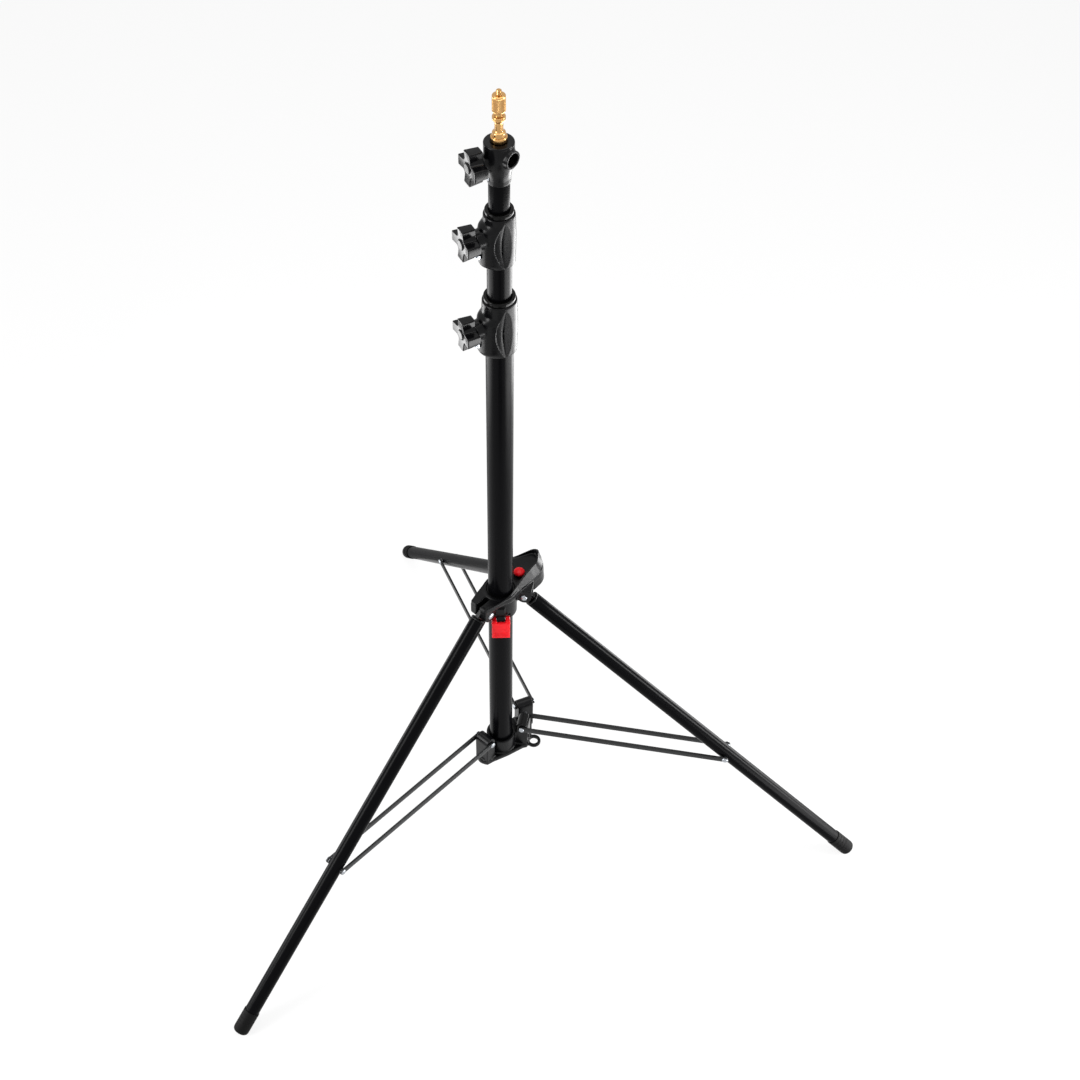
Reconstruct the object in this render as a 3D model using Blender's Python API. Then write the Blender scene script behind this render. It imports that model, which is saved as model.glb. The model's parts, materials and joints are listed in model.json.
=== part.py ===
"""Folding light stand: a three-section column on a tripod base that folds up along the column.

Metres, +Z up. The origin is the point of the floor under the column's axis.
The front leg runs towards -Y, and the hub arms for the other two legs run towards +Y.
"""

import math

import bmesh
import bpy
from mathutils import Matrix, Vector

MM = 0.001

# Clearances
SEAT_GAP = 0.3 * MM
SLIDE_GAP = 0.3 * MM
PIN_GAP = 0.25 * MM
FOLD_GAP = 1.0 * MM

# Column tubes
COLUMN_DIAMETER = 35 * MM
TUBE_WALL = 1.5 * MM
TUBE_STEP_GAP = 1.0 * MM
COLUMN_BOTTOM = 152 * MM
COLUMN_PLUG_HEIGHT = 12 * MM
RISER_1_BOTTOM = 290 * MM
RISER_2_BOTTOM = 425 * MM
PISTON_HEIGHT = 24 * MM
PISTON_SPIGOT = 15 * MM

# Clamping collars
LOWER_COLLAR_BOTTOM = 984 * MM
LOWER_COLLAR_HEIGHT = 78 * MM
RISER_1_SHOWN = 57 * MM
MIDDLE_COLLAR_HEIGHT = 70 * MM
COLLAR_GRIP = 31 * MM
COLLAR_WALL = 3.2 * MM
COLLAR_BULGE = 1.2 * MM
COLLAR_LOBE_REACH = 8.7 * MM
COLLAR_LOBE_HEIGHT = 60 * MM
COLLAR_BOSS_RISE = 41 * MM
COLLAR_BOSS_RADIUS = 12.5 * MM
COLLAR_BOSS_REACH = 6.5 * MM
COLLAR_NUT_RISE = 17 * MM
FACET_DEPTH = 1.9 * MM
FACET_AZIMUTH = -26
BUSH_DEPTH = 14 * MM
BUSH_RIM_HEIGHT = 5.7 * MM
BUSH_RIM_WALL = 4.6 * MM

# Clamp knobs, bolts, shoes and nuts
KNOB_AZIMUTH = 250
KNOB_RADIUS = 21.5 * MM
KNOB_WAIST = 12 * MM
KNOB_LOBES = 4
KNOB_THICKNESS = 18 * MM
KNOB_EDGE = 1.2 * MM
BOLT_RADIUS = 4 * MM
BOLT_SOCKET_DEPTH = 12 * MM
SHOE_LENGTH = 5 * MM
NUT_RADIUS = 5.2 * MM
NUT_HEIGHT = 4 * MM

# Top socket
RISER_2_SHOWN = 43 * MM
SOCKET_HEIGHT = 54 * MM
SOCKET_HEAD_HEIGHT = 24 * MM
SOCKET_WALL = 9.4 * MM
SOCKET_NECK_LIP = 1.1 * MM
SOCKET_PLUG_LENGTH = 28 * MM
SOCKET_BORE_DEPTH = 40 * MM
SOCKET_CHAMFER = 1.5 * MM
SOCKET_KNOB_DROP = 24 * MM
SOCKET_BOSS_RADIUS = 8.5 * MM
SOCKET_BOSS_REACH = 4.5 * MM
SIDE_BORE_RADIUS = 5.5 * MM
SIDE_BORE_DROP = 16 * MM
SIDE_BORE_RIM = 3.8 * MM
SIDE_BORE_REACH = 3.0 * MM
SOCKET_SCREW_RADIUS = 2.6 * MM
SOCKET_SCREW_RISE = 8 * MM

# Brass spigot and thread adapter
SPIGOT_DIAMETER = 16 * MM
SPIGOT_SHANK = 30 * MM
SPIGOT_COLLAR_RADIUS = 9.6 * MM
SPIGOT_COLLAR_HEIGHT = 6.5 * MM
SPIGOT_FLANGE_HEIGHT = 5.5 * MM
SPIGOT_WAIST_RADIUS = 5.0 * MM
SPIGOT_UPPER_WAIST = 15 * MM
SPIGOT_NUB_RADIUS = 4.8 * MM
SPIGOT_NUB_HEIGHT = 5 * MM
ADAPTER_RADIUS = 7.7 * MM
ADAPTER_HEIGHT = 21 * MM
ADAPTER_EDGE = 1.4 * MM
ADAPTER_STUD_RADIUS = 3.2 * MM
ADAPTER_STUD_HEIGHT = 6 * MM
ADAPTER_TAIL_RADIUS = 2.3 * MM
ADAPTER_TAIL_LENGTH = 4 * MM

# Legs
LEG_NAMES = ("front", "right", "left")
LEG_AZIMUTH = {"front": 270, "right": 31, "left": 156}
LEG_TILT = 46.5
LEG_LENGTH = 732 * MM
LEG_DIAMETER = 22 * MM
LEG_TUBE_START = 16 * MM
FOOT_WALL = 0.7 * MM
FOOT_CUFF = 30 * MM
FOOT_SOLE = 8 * MM
FOOT_EDGE = 4 * MM
FOOT_WEAR = 1.2 * MM
TONGUE_THICKNESS = 7 * MM
TONGUE_RADIUS = 8.5 * MM
SHOULDER_THICKNESS = 2.7 * MM
LEG_PLUG_LENGTH = 30 * MM

# Upper hub
HUB_PIN_RADIUS = 4 * MM
HUB_PIN_HEAD = 6 * MM
HUB_PIN_HEAD_HEIGHT = 1.8 * MM
HUB_BUSH_WALL = 1.8 * MM
HUB_SLEEVE_WALL = 3.6 * MM
HUB_SLEEVE_DROP = 25 * MM
HUB_PLATE_RISE = 11 * MM
HUB_PLATE_THICKNESS = 9 * MM
HUB_PLATE_MARGIN = 3.5 * MM
RIGHT_PIVOT_PLACE = 54.4
LEFT_PIVOT_PLACE = 93
LEFT_PIVOT_REACH = 56 * MM
RIGHT_DISC = 9 * MM
LEFT_DISC = 26 * MM
FORK_RADIUS = 11 * MM
FRONT_CHEEK = 11 * MM
FRONT_CORNER = 3 * MM
REAR_CHEEK = 6 * MM
RIM_THICKNESS = 3.2 * MM
RIM_HEIGHT = 13 * MM
RIM_SLOPE = 7
SKIRT_DROP = 5 * MM
SKIRT_START = 44 * MM

# Red cam lever and red push button
LEVER_AZIMUTH = -46
LEVER_WIDTH = 26 * MM
LEVER_LENGTH = 33 * MM
LEVER_PLATE = 4 * MM
LEVER_WINDOW_DROP = 14 * MM
LEVER_PIN_DROP = 19.7 * MM
LEVER_PIN_RADIUS = 2.2 * MM
LEVER_PIN_HEAD = 3.6 * MM
LUG_RADIUS = 4.5 * MM
LUG_WIDTH = 12 * MM
LUG_INSET = 3.5 * MM
BUTTON_PLACE = (2.5 * MM, 36.4 * MM)
BUTTON_RADIUS = 8 * MM
BUTTON_DOME = 4 * MM
BUTTON_SKIRT = 2 * MM
BUTTON_TRAVEL = 3 * MM
BUTTON_STEM_RADIUS = 4.5 * MM

# Lower hub
LOWER_HUB_FLOOR = 3.7 * MM
LOWER_HUB_WALL = 4.7 * MM
LOWER_HUB_RING = 36 * MM
LOWER_PLATE_THICKNESS = 8 * MM
LOWER_PLATE_MARGIN = 3 * MM
POST_RADIUS = 9 * MM
STAY_PIVOT_HEIGHT = 197 * MM
STRAP_EYE_RADIUS = 6.5 * MM
STRAP_EYE_WALL = 4.5 * MM
STRAP_EYE_REACH = 17 * MM

# Stays
STAY_ATTACH = 436 * MM
STAY_HEIGHT = 9.5 * MM
STAY_THICKNESS = 3.2 * MM
STAY_CLEARANCE = 0.8 * MM
STAY_PIN_RADIUS = 2.5 * MM
STAY_PIN_HEAD = 4.6 * MM
STAY_PIN_HEAD_HEIGHT = 2 * MM
RIVET_FLANGE_RADIUS = 4 * MM

# Facets of round pieces
TUBE_SIDES = 32
PIN_SIDES = 12
KNOB_SIDES = 48
NEARLY_STRAIGHT = 0.04

# Values that follow from the sizes above
MIDDLE_COLLAR_BOTTOM = LOWER_COLLAR_BOTTOM + LOWER_COLLAR_HEIGHT + RISER_1_SHOWN
SOCKET_BOTTOM = MIDDLE_COLLAR_BOTTOM + MIDDLE_COLLAR_HEIGHT + RISER_2_SHOWN
COLUMN_RADIUS = COLUMN_DIAMETER / 2
RISER_1_RADIUS = COLUMN_RADIUS - TUBE_WALL - TUBE_STEP_GAP
RISER_2_RADIUS = RISER_1_RADIUS - TUBE_WALL - TUBE_STEP_GAP
LEG_RADIUS = LEG_DIAMETER / 2
FOOT_RADIUS = LEG_RADIUS + SEAT_GAP + FOOT_WALL
TILT = math.radians(LEG_TILT)
FOOT_DROP = (FOOT_RADIUS - FOOT_EDGE) * math.sin(TILT) + FOOT_EDGE * (1 - math.cos(TILT)) - FOOT_WEAR
PIVOT_HEIGHT = LEG_LENGTH * math.cos(TILT) + FOOT_DROP
SLEEVE_INNER = COLUMN_RADIUS + SLIDE_GAP + HUB_BUSH_WALL + SEAT_GAP
SLEEVE_RADIUS = SLEEVE_INNER + HUB_SLEEVE_WALL
PIVOT_REACH = SLEEVE_RADIUS + LEG_RADIUS + FOLD_GAP
PIVOT_PLACE = {
    "front": (270, PIVOT_REACH),
    "right": (RIGHT_PIVOT_PLACE, PIVOT_REACH),
    "left": (LEFT_PIVOT_PLACE, LEFT_PIVOT_REACH),
}
PLATE_BOTTOM = PIVOT_HEIGHT + HUB_PLATE_RISE
PLATE_TOP = PLATE_BOTTOM + HUB_PLATE_THICKNESS
STAY_INNER_FACE = FOOT_RADIUS + STAY_CLEARANCE
STAY_OUTER_FACE = STAY_INNER_FACE + STAY_THICKNESS
STAY_RUN = STAY_ATTACH * math.sin(TILT)
STAY_CLIMB = PIVOT_HEIGHT - STAY_ATTACH * math.cos(TILT) - STAY_PIVOT_HEIGHT
STAY_LENGTH = math.hypot(STAY_RUN, STAY_CLIMB)
STAY_RISE = math.atan2(STAY_CLIMB, STAY_RUN)
SLOT_WIDTH = TONGUE_THICKNESS + 2 * SEAT_GAP
SPIGOT_RADIUS = SPIGOT_DIAMETER / 2 - SLIDE_GAP
SOCKET_BORE = SPIGOT_DIAMETER / 2 + SLIDE_GAP
SOCKET_TOP = SOCKET_BOTTOM + SOCKET_HEIGHT
SOCKET_HEAD_RADIUS = SOCKET_BORE + SOCKET_WALL
LEVER_PIN_HEIGHT = PIVOT_HEIGHT - LEVER_PIN_DROP
LEVER_PIN_REACH = COLUMN_RADIUS + LUG_INSET + LUG_RADIUS - SEAT_GAP * 3
LEVER_INNER = LUG_RADIUS + SEAT_GAP * 2


def clear_scene():
    for obj in list(bpy.data.objects):
        bpy.data.objects.remove(obj, do_unlink=True)


def finish_material(name, color, roughness, metallic):
    material = bpy.data.materials.new(name)
    material.use_nodes = True
    shader = material.node_tree.nodes["Principled BSDF"]
    shader.inputs["Base Color"].default_value = (*color, 1.0)
    shader.inputs["Roughness"].default_value = roughness
    shader.inputs["Metallic"].default_value = metallic
    material.diffuse_color = (*color, 1.0)
    return material


def place(azimuth, reach, height=0.0):
    """Point at a plan azimuth in degrees, a distance from the column's axis and a height."""
    angle = math.radians(azimuth)
    return Vector((reach * math.cos(angle), reach * math.sin(angle), height))


def radial_frame(azimuth, height):
    """Frame on the column's axis: local Z runs outwards at the azimuth, local Y runs up."""
    angle = math.radians(azimuth)
    frame = Matrix.Rotation(angle + math.pi / 2, 4, "Z") @ Matrix.Rotation(math.pi / 2, 4, "X")
    frame.translation = (0, 0, height)
    return frame


def upright_frame(leg, height):
    """Frame over a leg's pivot: local X runs outwards along the leg's azimuth, local Y along its pin."""
    frame = Matrix.Rotation(math.radians(LEG_AZIMUTH[leg]), 4, "Z")
    frame.translation = place(*PIVOT_PLACE[leg], height)
    return frame


def pin_frame(frame):
    """The same frame turned so that its local Z runs along the pin."""
    return frame @ Matrix.Rotation(-math.pi / 2, 4, "X")


def solid(name, shape, frame, material=None, parent=None):
    """Object made from a bmesh, shaded smooth apart from its edges."""
    bmesh.ops.recalc_face_normals(shape, faces=shape.faces)
    mesh = bpy.data.meshes.new(name)
    shape.to_mesh(mesh)
    shape.free()
    mesh.shade_smooth()
    mesh.set_sharp_from_angle(angle=math.radians(35))
    obj = bpy.data.objects.new(name, mesh)
    bpy.context.scene.collection.objects.link(obj)
    obj.parent = parent
    obj.matrix_local = frame
    if material:
        mesh.materials.append(material)
    return obj


def tool(shape, frame, parent=None):
    """Hidden object that only adds to or cuts another one."""
    obj = solid("tool", shape, frame, None, parent)
    obj.hide_render = True
    obj.display_type = "WIRE"
    return obj


def combine(obj, other, operation):
    modifier = obj.modifiers.new(operation.lower(), "BOOLEAN")
    modifier.operation = operation
    modifier.object = other
    modifier.solver = "EXACT"


def add(obj, shape, frame, parent=None):
    combine(obj, tool(shape, frame, parent), "UNION")


def cut(obj, shape, frame, parent=None):
    combine(obj, tool(shape, frame, parent), "DIFFERENCE")


def turned(profile, sides, closed=False):
    """Solid of revolution about local Z. A profile is (radius, height) pairs, a closed one is a ring."""
    shape = bmesh.new()
    verts = [shape.verts.new((radius, 0, height)) for radius, height in profile]
    pairs = list(zip(verts, verts[1:]))
    if closed:
        pairs.append((verts[-1], verts[0]))
    edges = [shape.edges.new(pair) for pair in pairs]
    bmesh.ops.spin(shape, geom=verts + edges, cent=(0, 0, 0), axis=(0, 0, 1), dvec=(0, 0, 0),
                   angle=2 * math.pi, steps=sides, use_merge=False, use_duplicate=False)
    bmesh.ops.remove_doubles(shape, verts=shape.verts, dist=0.001 * MM)
    centres = [vert for vert in shape.verts if math.hypot(vert.co.x, vert.co.y) < 0.001 * MM]
    flat = [vert for vert in centres
            if all(abs(edge.other_vert(vert).co.z - vert.co.z) < 0.001 * MM for edge in vert.link_edges)]
    bmesh.ops.dissolve_verts(shape, verts=flat)
    return shape


def rod(radius, bottom, top, sides=PIN_SIDES):
    return turned([(0, bottom), (radius, bottom), (radius, top), (0, top)], sides)


def pipe(outer, inner, bottom, top, sides=TUBE_SIDES):
    return turned([(outer, bottom), (outer, top), (inner, top), (inner, bottom)], sides, closed=True)


def prism(outline, bottom, top):
    """Outline in the local XY plane, extruded along local Z."""
    shape = bmesh.new()
    face = shape.faces.new([shape.verts.new((x, y, bottom)) for x, y in outline])
    grown = bmesh.ops.extrude_face_region(shape, geom=[face])
    raised = [item for item in grown["geom"] if isinstance(item, bmesh.types.BMVert)]
    bmesh.ops.translate(shape, verts=raised, vec=(0, 0, top - bottom))
    return shape


def block(low, high):
    """Box between two corners."""
    outline = [(low[0], low[1]), (high[0], low[1]), (high[0], high[1]), (low[0], high[1])]
    return prism(outline, low[2], high[2])


def wrapped_discs(discs, sides=TUBE_SIDES):
    """Outline of a band stretched round discs, each given as (x, y, radius)."""
    points = []
    for x, y, radius in discs:
        for step in range(sides):
            angle = 2 * math.pi * step / sides
            points.append((x + radius * math.cos(angle), y + radius * math.sin(angle)))
    points.sort()

    def chain(ordered):
        kept = []
        for point in ordered:
            while len(kept) > 1 and turn(kept[-2], kept[-1], point) <= NEARLY_STRAIGHT:
                kept.pop()
            kept.append(point)
        return kept[:-1]

    return chain(points) + chain(points[::-1])


def turn(start, middle, end):
    """Sine of the angle that a path turns left by at its middle point."""
    before = (middle[0] - start[0], middle[1] - start[1])
    after = (end[0] - middle[0], end[1] - middle[1])
    area = before[0] * after[1] - before[1] * after[0]
    return area / max(math.hypot(*before) * math.hypot(*after), MM ** 4)


def stadium(length, radius, sides=PIN_SIDES):
    """Outline of a bar with round ends, from the origin along local X."""
    return wrapped_discs([(0, 0, radius), (length, 0, radius)], sides)


def arch(radius, height):
    """Outline of a bar with one round end: round below the origin, straight up to a height (local -Y)."""
    angles = [math.pi * step / PIN_SIDES for step in range(PIN_SIDES + 1)]
    rounded = [(radius * math.cos(angle), radius * math.sin(angle)) for angle in angles]
    return rounded + [(-radius, -height), (radius, -height)]


def lobed_outline(lobes, outer, waist, sides):
    """Star outline: the radius swings between the waist and the lobes, with flat-topped lobes."""
    points = []
    for step in range(sides):
        angle = 2 * math.pi * step / sides
        swing = math.tanh(2.2 * math.cos(lobes * angle)) / math.tanh(2.2)
        radius = waist + (outer - waist) * (1 + swing) / 2
        points.append((radius * math.cos(angle), radius * math.sin(angle)))
    return points


def column_pieces(finish):
    here = Matrix.Identity(4)
    top = LOWER_COLLAR_BOTTOM + COLLAR_GRIP
    solid("base_column", pipe(COLUMN_RADIUS, COLUMN_RADIUS - TUBE_WALL, COLUMN_BOTTOM, top),
          here, finish["anodised"])
    plug_radius = COLUMN_RADIUS - TUBE_WALL - SEAT_GAP
    plug = [(0, 0), (plug_radius, 0), (plug_radius, COLUMN_PLUG_HEIGHT - MM),
            (plug_radius - MM, COLUMN_PLUG_HEIGHT), (0, COLUMN_PLUG_HEIGHT)]
    solid("column_plug", turned(plug, TUBE_SIDES), Matrix.Translation((0, 0, COLUMN_BOTTOM)),
          finish["plastic"])


def riser_pieces(finish, number, radius, outer_bore, bottom, top):
    """Riser tube with the sealing piston in its foot."""
    here = Matrix.Identity(4)
    bore = radius - TUBE_WALL
    solid(f"riser_tube_{number}", pipe(radius, bore, bottom, top), here, finish["anodised"])
    seal = outer_bore - SLIDE_GAP
    neck = bore - SEAT_GAP
    groove = radius - TUBE_WALL
    low = -PISTON_HEIGHT
    profile = [(0, low), (seal, low), (seal, low * 0.7), (groove, low * 0.7), (groove, low * 0.3),
               (seal, low * 0.3), (seal, -SEAT_GAP), (neck, -SEAT_GAP), (neck, PISTON_SPIGOT),
               (0, PISTON_SPIGOT)]
    solid(f"riser_piston_{number}", turned(profile, TUBE_SIDES), Matrix.Translation((0, 0, bottom)),
          finish["plastic"])


def collar_pieces(finish, name, tube_radius, inner_radius, bottom, height):
    """Clamping collar on a tube's top, with its bush, shoe, nut, bolt and knob."""
    here = Matrix.Translation((0, 0, bottom))
    top = height
    bore = tube_radius + SEAT_GAP
    end_radius = bore + COLLAR_WALL
    waist = end_radius + COLLAR_BULGE
    steps = 8
    barrel = [(0, 0)]
    for step in range(steps + 1):
        share = step / steps
        barrel.append((end_radius + COLLAR_BULGE * math.sin(math.pi * share), height * share))
    barrel.append((0, top))
    collar = solid(f"{name}_collar", turned(barrel, TUBE_SIDES), here, finish["cast"])

    lobe_radius = end_radius - 2 * MM
    lobe_centre = place(KNOB_AZIMUTH, waist + COLLAR_LOBE_REACH - lobe_radius - COLLAR_BULGE * 2)
    add(collar, prism(wrapped_discs([(lobe_centre.x, lobe_centre.y, lobe_radius), (0, 0, lobe_radius)]),
                      0.6 * MM, COLLAR_LOBE_HEIGHT), here)
    boss_frame = radial_frame(KNOB_AZIMUTH, bottom + COLLAR_BOSS_RISE)
    lobe_face = waist + COLLAR_LOBE_REACH - COLLAR_BULGE * 2
    boss_end = lobe_face + COLLAR_BOSS_REACH
    add(collar, rod(COLLAR_BOSS_RADIUS, inner_radius, boss_end, PIN_SIDES * 2), boss_frame)
    cut(collar, rod(bore, -MM, top + MM, TUBE_SIDES), here)
    cut(collar, rod(BOLT_RADIUS + PIN_GAP, 0, boss_end + MM), boss_frame)
    facet = waist - FACET_DEPTH
    cut(collar, block((-waist, -height, facet), (waist, height * 2, waist * 2)),
        radial_frame(FACET_AZIMUTH, bottom))

    rim_radius = inner_radius + BUSH_RIM_WALL
    bush_bore = inner_radius + SLIDE_GAP
    rim_low = top + SEAT_GAP
    rim_high = rim_low + BUSH_RIM_HEIGHT
    sleeve = bore - SEAT_GAP
    bush = [(bush_bore, top - BUSH_DEPTH), (sleeve, top - BUSH_DEPTH), (sleeve, rim_low),
            (rim_radius, rim_low), (rim_radius, rim_high - MM), (rim_radius - MM, rim_high),
            (bush_bore, rim_high)]
    solid(f"{name}_bush", turned(bush, TUBE_SIDES, closed=True), here, finish["plastic"])

    shoe_start = inner_radius + SLIDE_GAP
    shoe_end = shoe_start + SHOE_LENGTH
    solid(f"{name}_clamp_shoe", rod(BOLT_RADIUS, shoe_start, shoe_end), boss_frame, finish["plastic"])
    nut_low = lobe_face + SEAT_GAP
    solid(f"{name}_clamp_nut", rod(NUT_RADIUS, nut_low, nut_low + NUT_HEIGHT, 6),
          radial_frame(KNOB_AZIMUTH, bottom + COLLAR_NUT_RISE), finish["zinc"])
    knob_pieces(finish, name, boss_frame, shoe_end + SEAT_GAP, boss_end + SEAT_GAP)


def knob_pieces(finish, name, frame, bolt_start, knob_start):
    """Lobed knob on its bolt. Both turn about local Z of the frame."""
    knob_end = knob_start + KNOB_THICKNESS
    outline = lobed_outline(KNOB_LOBES, KNOB_RADIUS, KNOB_WAIST, KNOB_SIDES)
    knob = solid(f"{name}_knob", prism(outline, knob_start, knob_end), frame, finish["knob"])
    edge = knob.modifiers.new("edge", "BEVEL")
    edge.width = KNOB_EDGE
    edge.segments = 1
    edge.limit_method = "ANGLE"
    edge.angle_limit = math.radians(50)
    bolt_end = knob_start + BOLT_SOCKET_DEPTH
    cut(knob, rod(BOLT_RADIUS + PIN_GAP, knob_start - MM, bolt_end + SEAT_GAP), frame)
    solid(f"{name}_knob_bolt", rod(BOLT_RADIUS, bolt_start, bolt_end), frame, finish["zinc"])


def socket_pieces(finish):
    """Top socket: an upright bore for the spigot, a side bore and a clamp knob."""
    here = Matrix.Translation((0, 0, SOCKET_BOTTOM))
    top = SOCKET_HEIGHT
    neck = RISER_2_RADIUS + SOCKET_NECK_LIP
    plug = RISER_2_RADIUS - TUBE_WALL - SEAT_GAP
    shoulder = top - SOCKET_HEAD_HEIGHT
    edge = SOCKET_CHAMFER
    profile = [(0, -SOCKET_PLUG_LENGTH), (plug, -SOCKET_PLUG_LENGTH), (plug, 0), (neck, 0),
               (neck + edge / 2, 6 * edge), (SOCKET_HEAD_RADIUS, shoulder),
               (SOCKET_HEAD_RADIUS, top - edge), (SOCKET_HEAD_RADIUS - edge, top), (0, top)]
    socket = solid("top_socket", turned(profile, TUBE_SIDES), here, finish["cast"])

    knob_frame = radial_frame(KNOB_AZIMUTH, SOCKET_TOP - SOCKET_KNOB_DROP)
    boss_end = SOCKET_HEAD_RADIUS + SOCKET_BOSS_REACH
    add(socket, rod(SOCKET_BOSS_RADIUS, SOCKET_BORE, boss_end, PIN_SIDES * 2), knob_frame)
    side_frame = radial_frame(0, SOCKET_TOP - SIDE_BORE_DROP)
    side_end = SOCKET_HEAD_RADIUS + SIDE_BORE_REACH
    add(socket, rod(SIDE_BORE_RADIUS + SIDE_BORE_RIM, SOCKET_BORE, side_end, PIN_SIDES * 2), side_frame)
    bore = [(0, top - SOCKET_BORE_DEPTH), (SOCKET_BORE, top - SOCKET_BORE_DEPTH),
            (SOCKET_BORE, top - edge), (SOCKET_BORE + 2 * edge, top + edge), (0, top + edge)]
    cut(socket, turned(bore, TUBE_SIDES), here)
    cut(socket, rod(SIDE_BORE_RADIUS, 0, side_end + MM, PIN_SIDES * 2), side_frame)
    cut(socket, rod(BOLT_RADIUS + PIN_GAP, 0, boss_end + MM), knob_frame)

    screw_frame = radial_frame(KNOB_AZIMUTH, SOCKET_BOTTOM + SOCKET_SCREW_RISE)
    screw_start = neck - 4 * MM
    cut(socket, rod(SOCKET_SCREW_RADIUS + PIN_GAP, screw_start, neck * 2), screw_frame)
    solid("socket_screw", rod(SOCKET_SCREW_RADIUS, screw_start + SEAT_GAP, neck + MM), screw_frame,
          finish["zinc"])
    knob_pieces(finish, "socket", knob_frame, SOCKET_BORE + SEAT_GAP, boss_end + SEAT_GAP)


def brass_pieces(finish):
    """Spigot seated in the socket, with the thread adapter on its top."""
    waist = SPIGOT_WAIST_RADIUS
    flange = SPIGOT_RADIUS
    edge = MM
    shank = SPIGOT_SHANK
    collar_top = shank + SPIGOT_COLLAR_HEIGHT
    flange_top = collar_top + SPIGOT_FLANGE_HEIGHT
    upper_low = flange_top + SPIGOT_UPPER_WAIST
    upper_top = upper_low + SPIGOT_FLANGE_HEIGHT
    nub_top = upper_top + SPIGOT_NUB_HEIGHT
    hole = ADAPTER_TAIL_RADIUS + PIN_GAP
    hole_floor = nub_top - ADAPTER_TAIL_LENGTH - MM
    low = SPIGOT_FLANGE_HEIGHT / 2
    profile = [(0, 0), (waist, 0), (waist, low), (flange - edge, low), (flange, low + edge),
               (flange, low + SPIGOT_FLANGE_HEIGHT - edge), (waist, low + SPIGOT_FLANGE_HEIGHT + edge),
               (waist, shank - 2 * edge), (flange, shank - edge), (flange, shank),
               (SPIGOT_COLLAR_RADIUS - edge, shank), (SPIGOT_COLLAR_RADIUS, shank + edge),
               (SPIGOT_COLLAR_RADIUS, collar_top - edge), (SPIGOT_COLLAR_RADIUS - edge, collar_top),
               (flange - edge, collar_top), (flange, collar_top + edge), (flange, flange_top - edge),
               (waist, flange_top + edge), (waist, upper_low - edge), (flange, upper_low + edge),
               (flange, upper_top - edge), (flange - edge, upper_top), (SPIGOT_NUB_RADIUS, upper_top),
               (SPIGOT_NUB_RADIUS, nub_top), (hole, nub_top), (hole, hole_floor), (0, hole_floor)]
    seat = SOCKET_TOP + SEAT_GAP - shank
    solid("spigot", turned(profile, 24), Matrix.Translation((0, 0, seat)), finish["brass"])

    body = ADAPTER_RADIUS
    profile = [(0, -ADAPTER_TAIL_LENGTH), (ADAPTER_TAIL_RADIUS, -ADAPTER_TAIL_LENGTH),
               (ADAPTER_TAIL_RADIUS, 0), (body - ADAPTER_EDGE, 0), (body, ADAPTER_EDGE),
               (body, ADAPTER_HEIGHT - ADAPTER_EDGE), (body - ADAPTER_EDGE, ADAPTER_HEIGHT),
               (ADAPTER_STUD_RADIUS, ADAPTER_HEIGHT),
               (ADAPTER_STUD_RADIUS, ADAPTER_HEIGHT + ADAPTER_STUD_HEIGHT - MM),
               (ADAPTER_STUD_RADIUS - MM, ADAPTER_HEIGHT + ADAPTER_STUD_HEIGHT),
               (0, ADAPTER_HEIGHT + ADAPTER_STUD_HEIGHT)]
    solid("thread_adapter", turned(profile, 24), Matrix.Translation((0, 0, seat + nub_top + SEAT_GAP)),
          finish["brass"])


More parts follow.
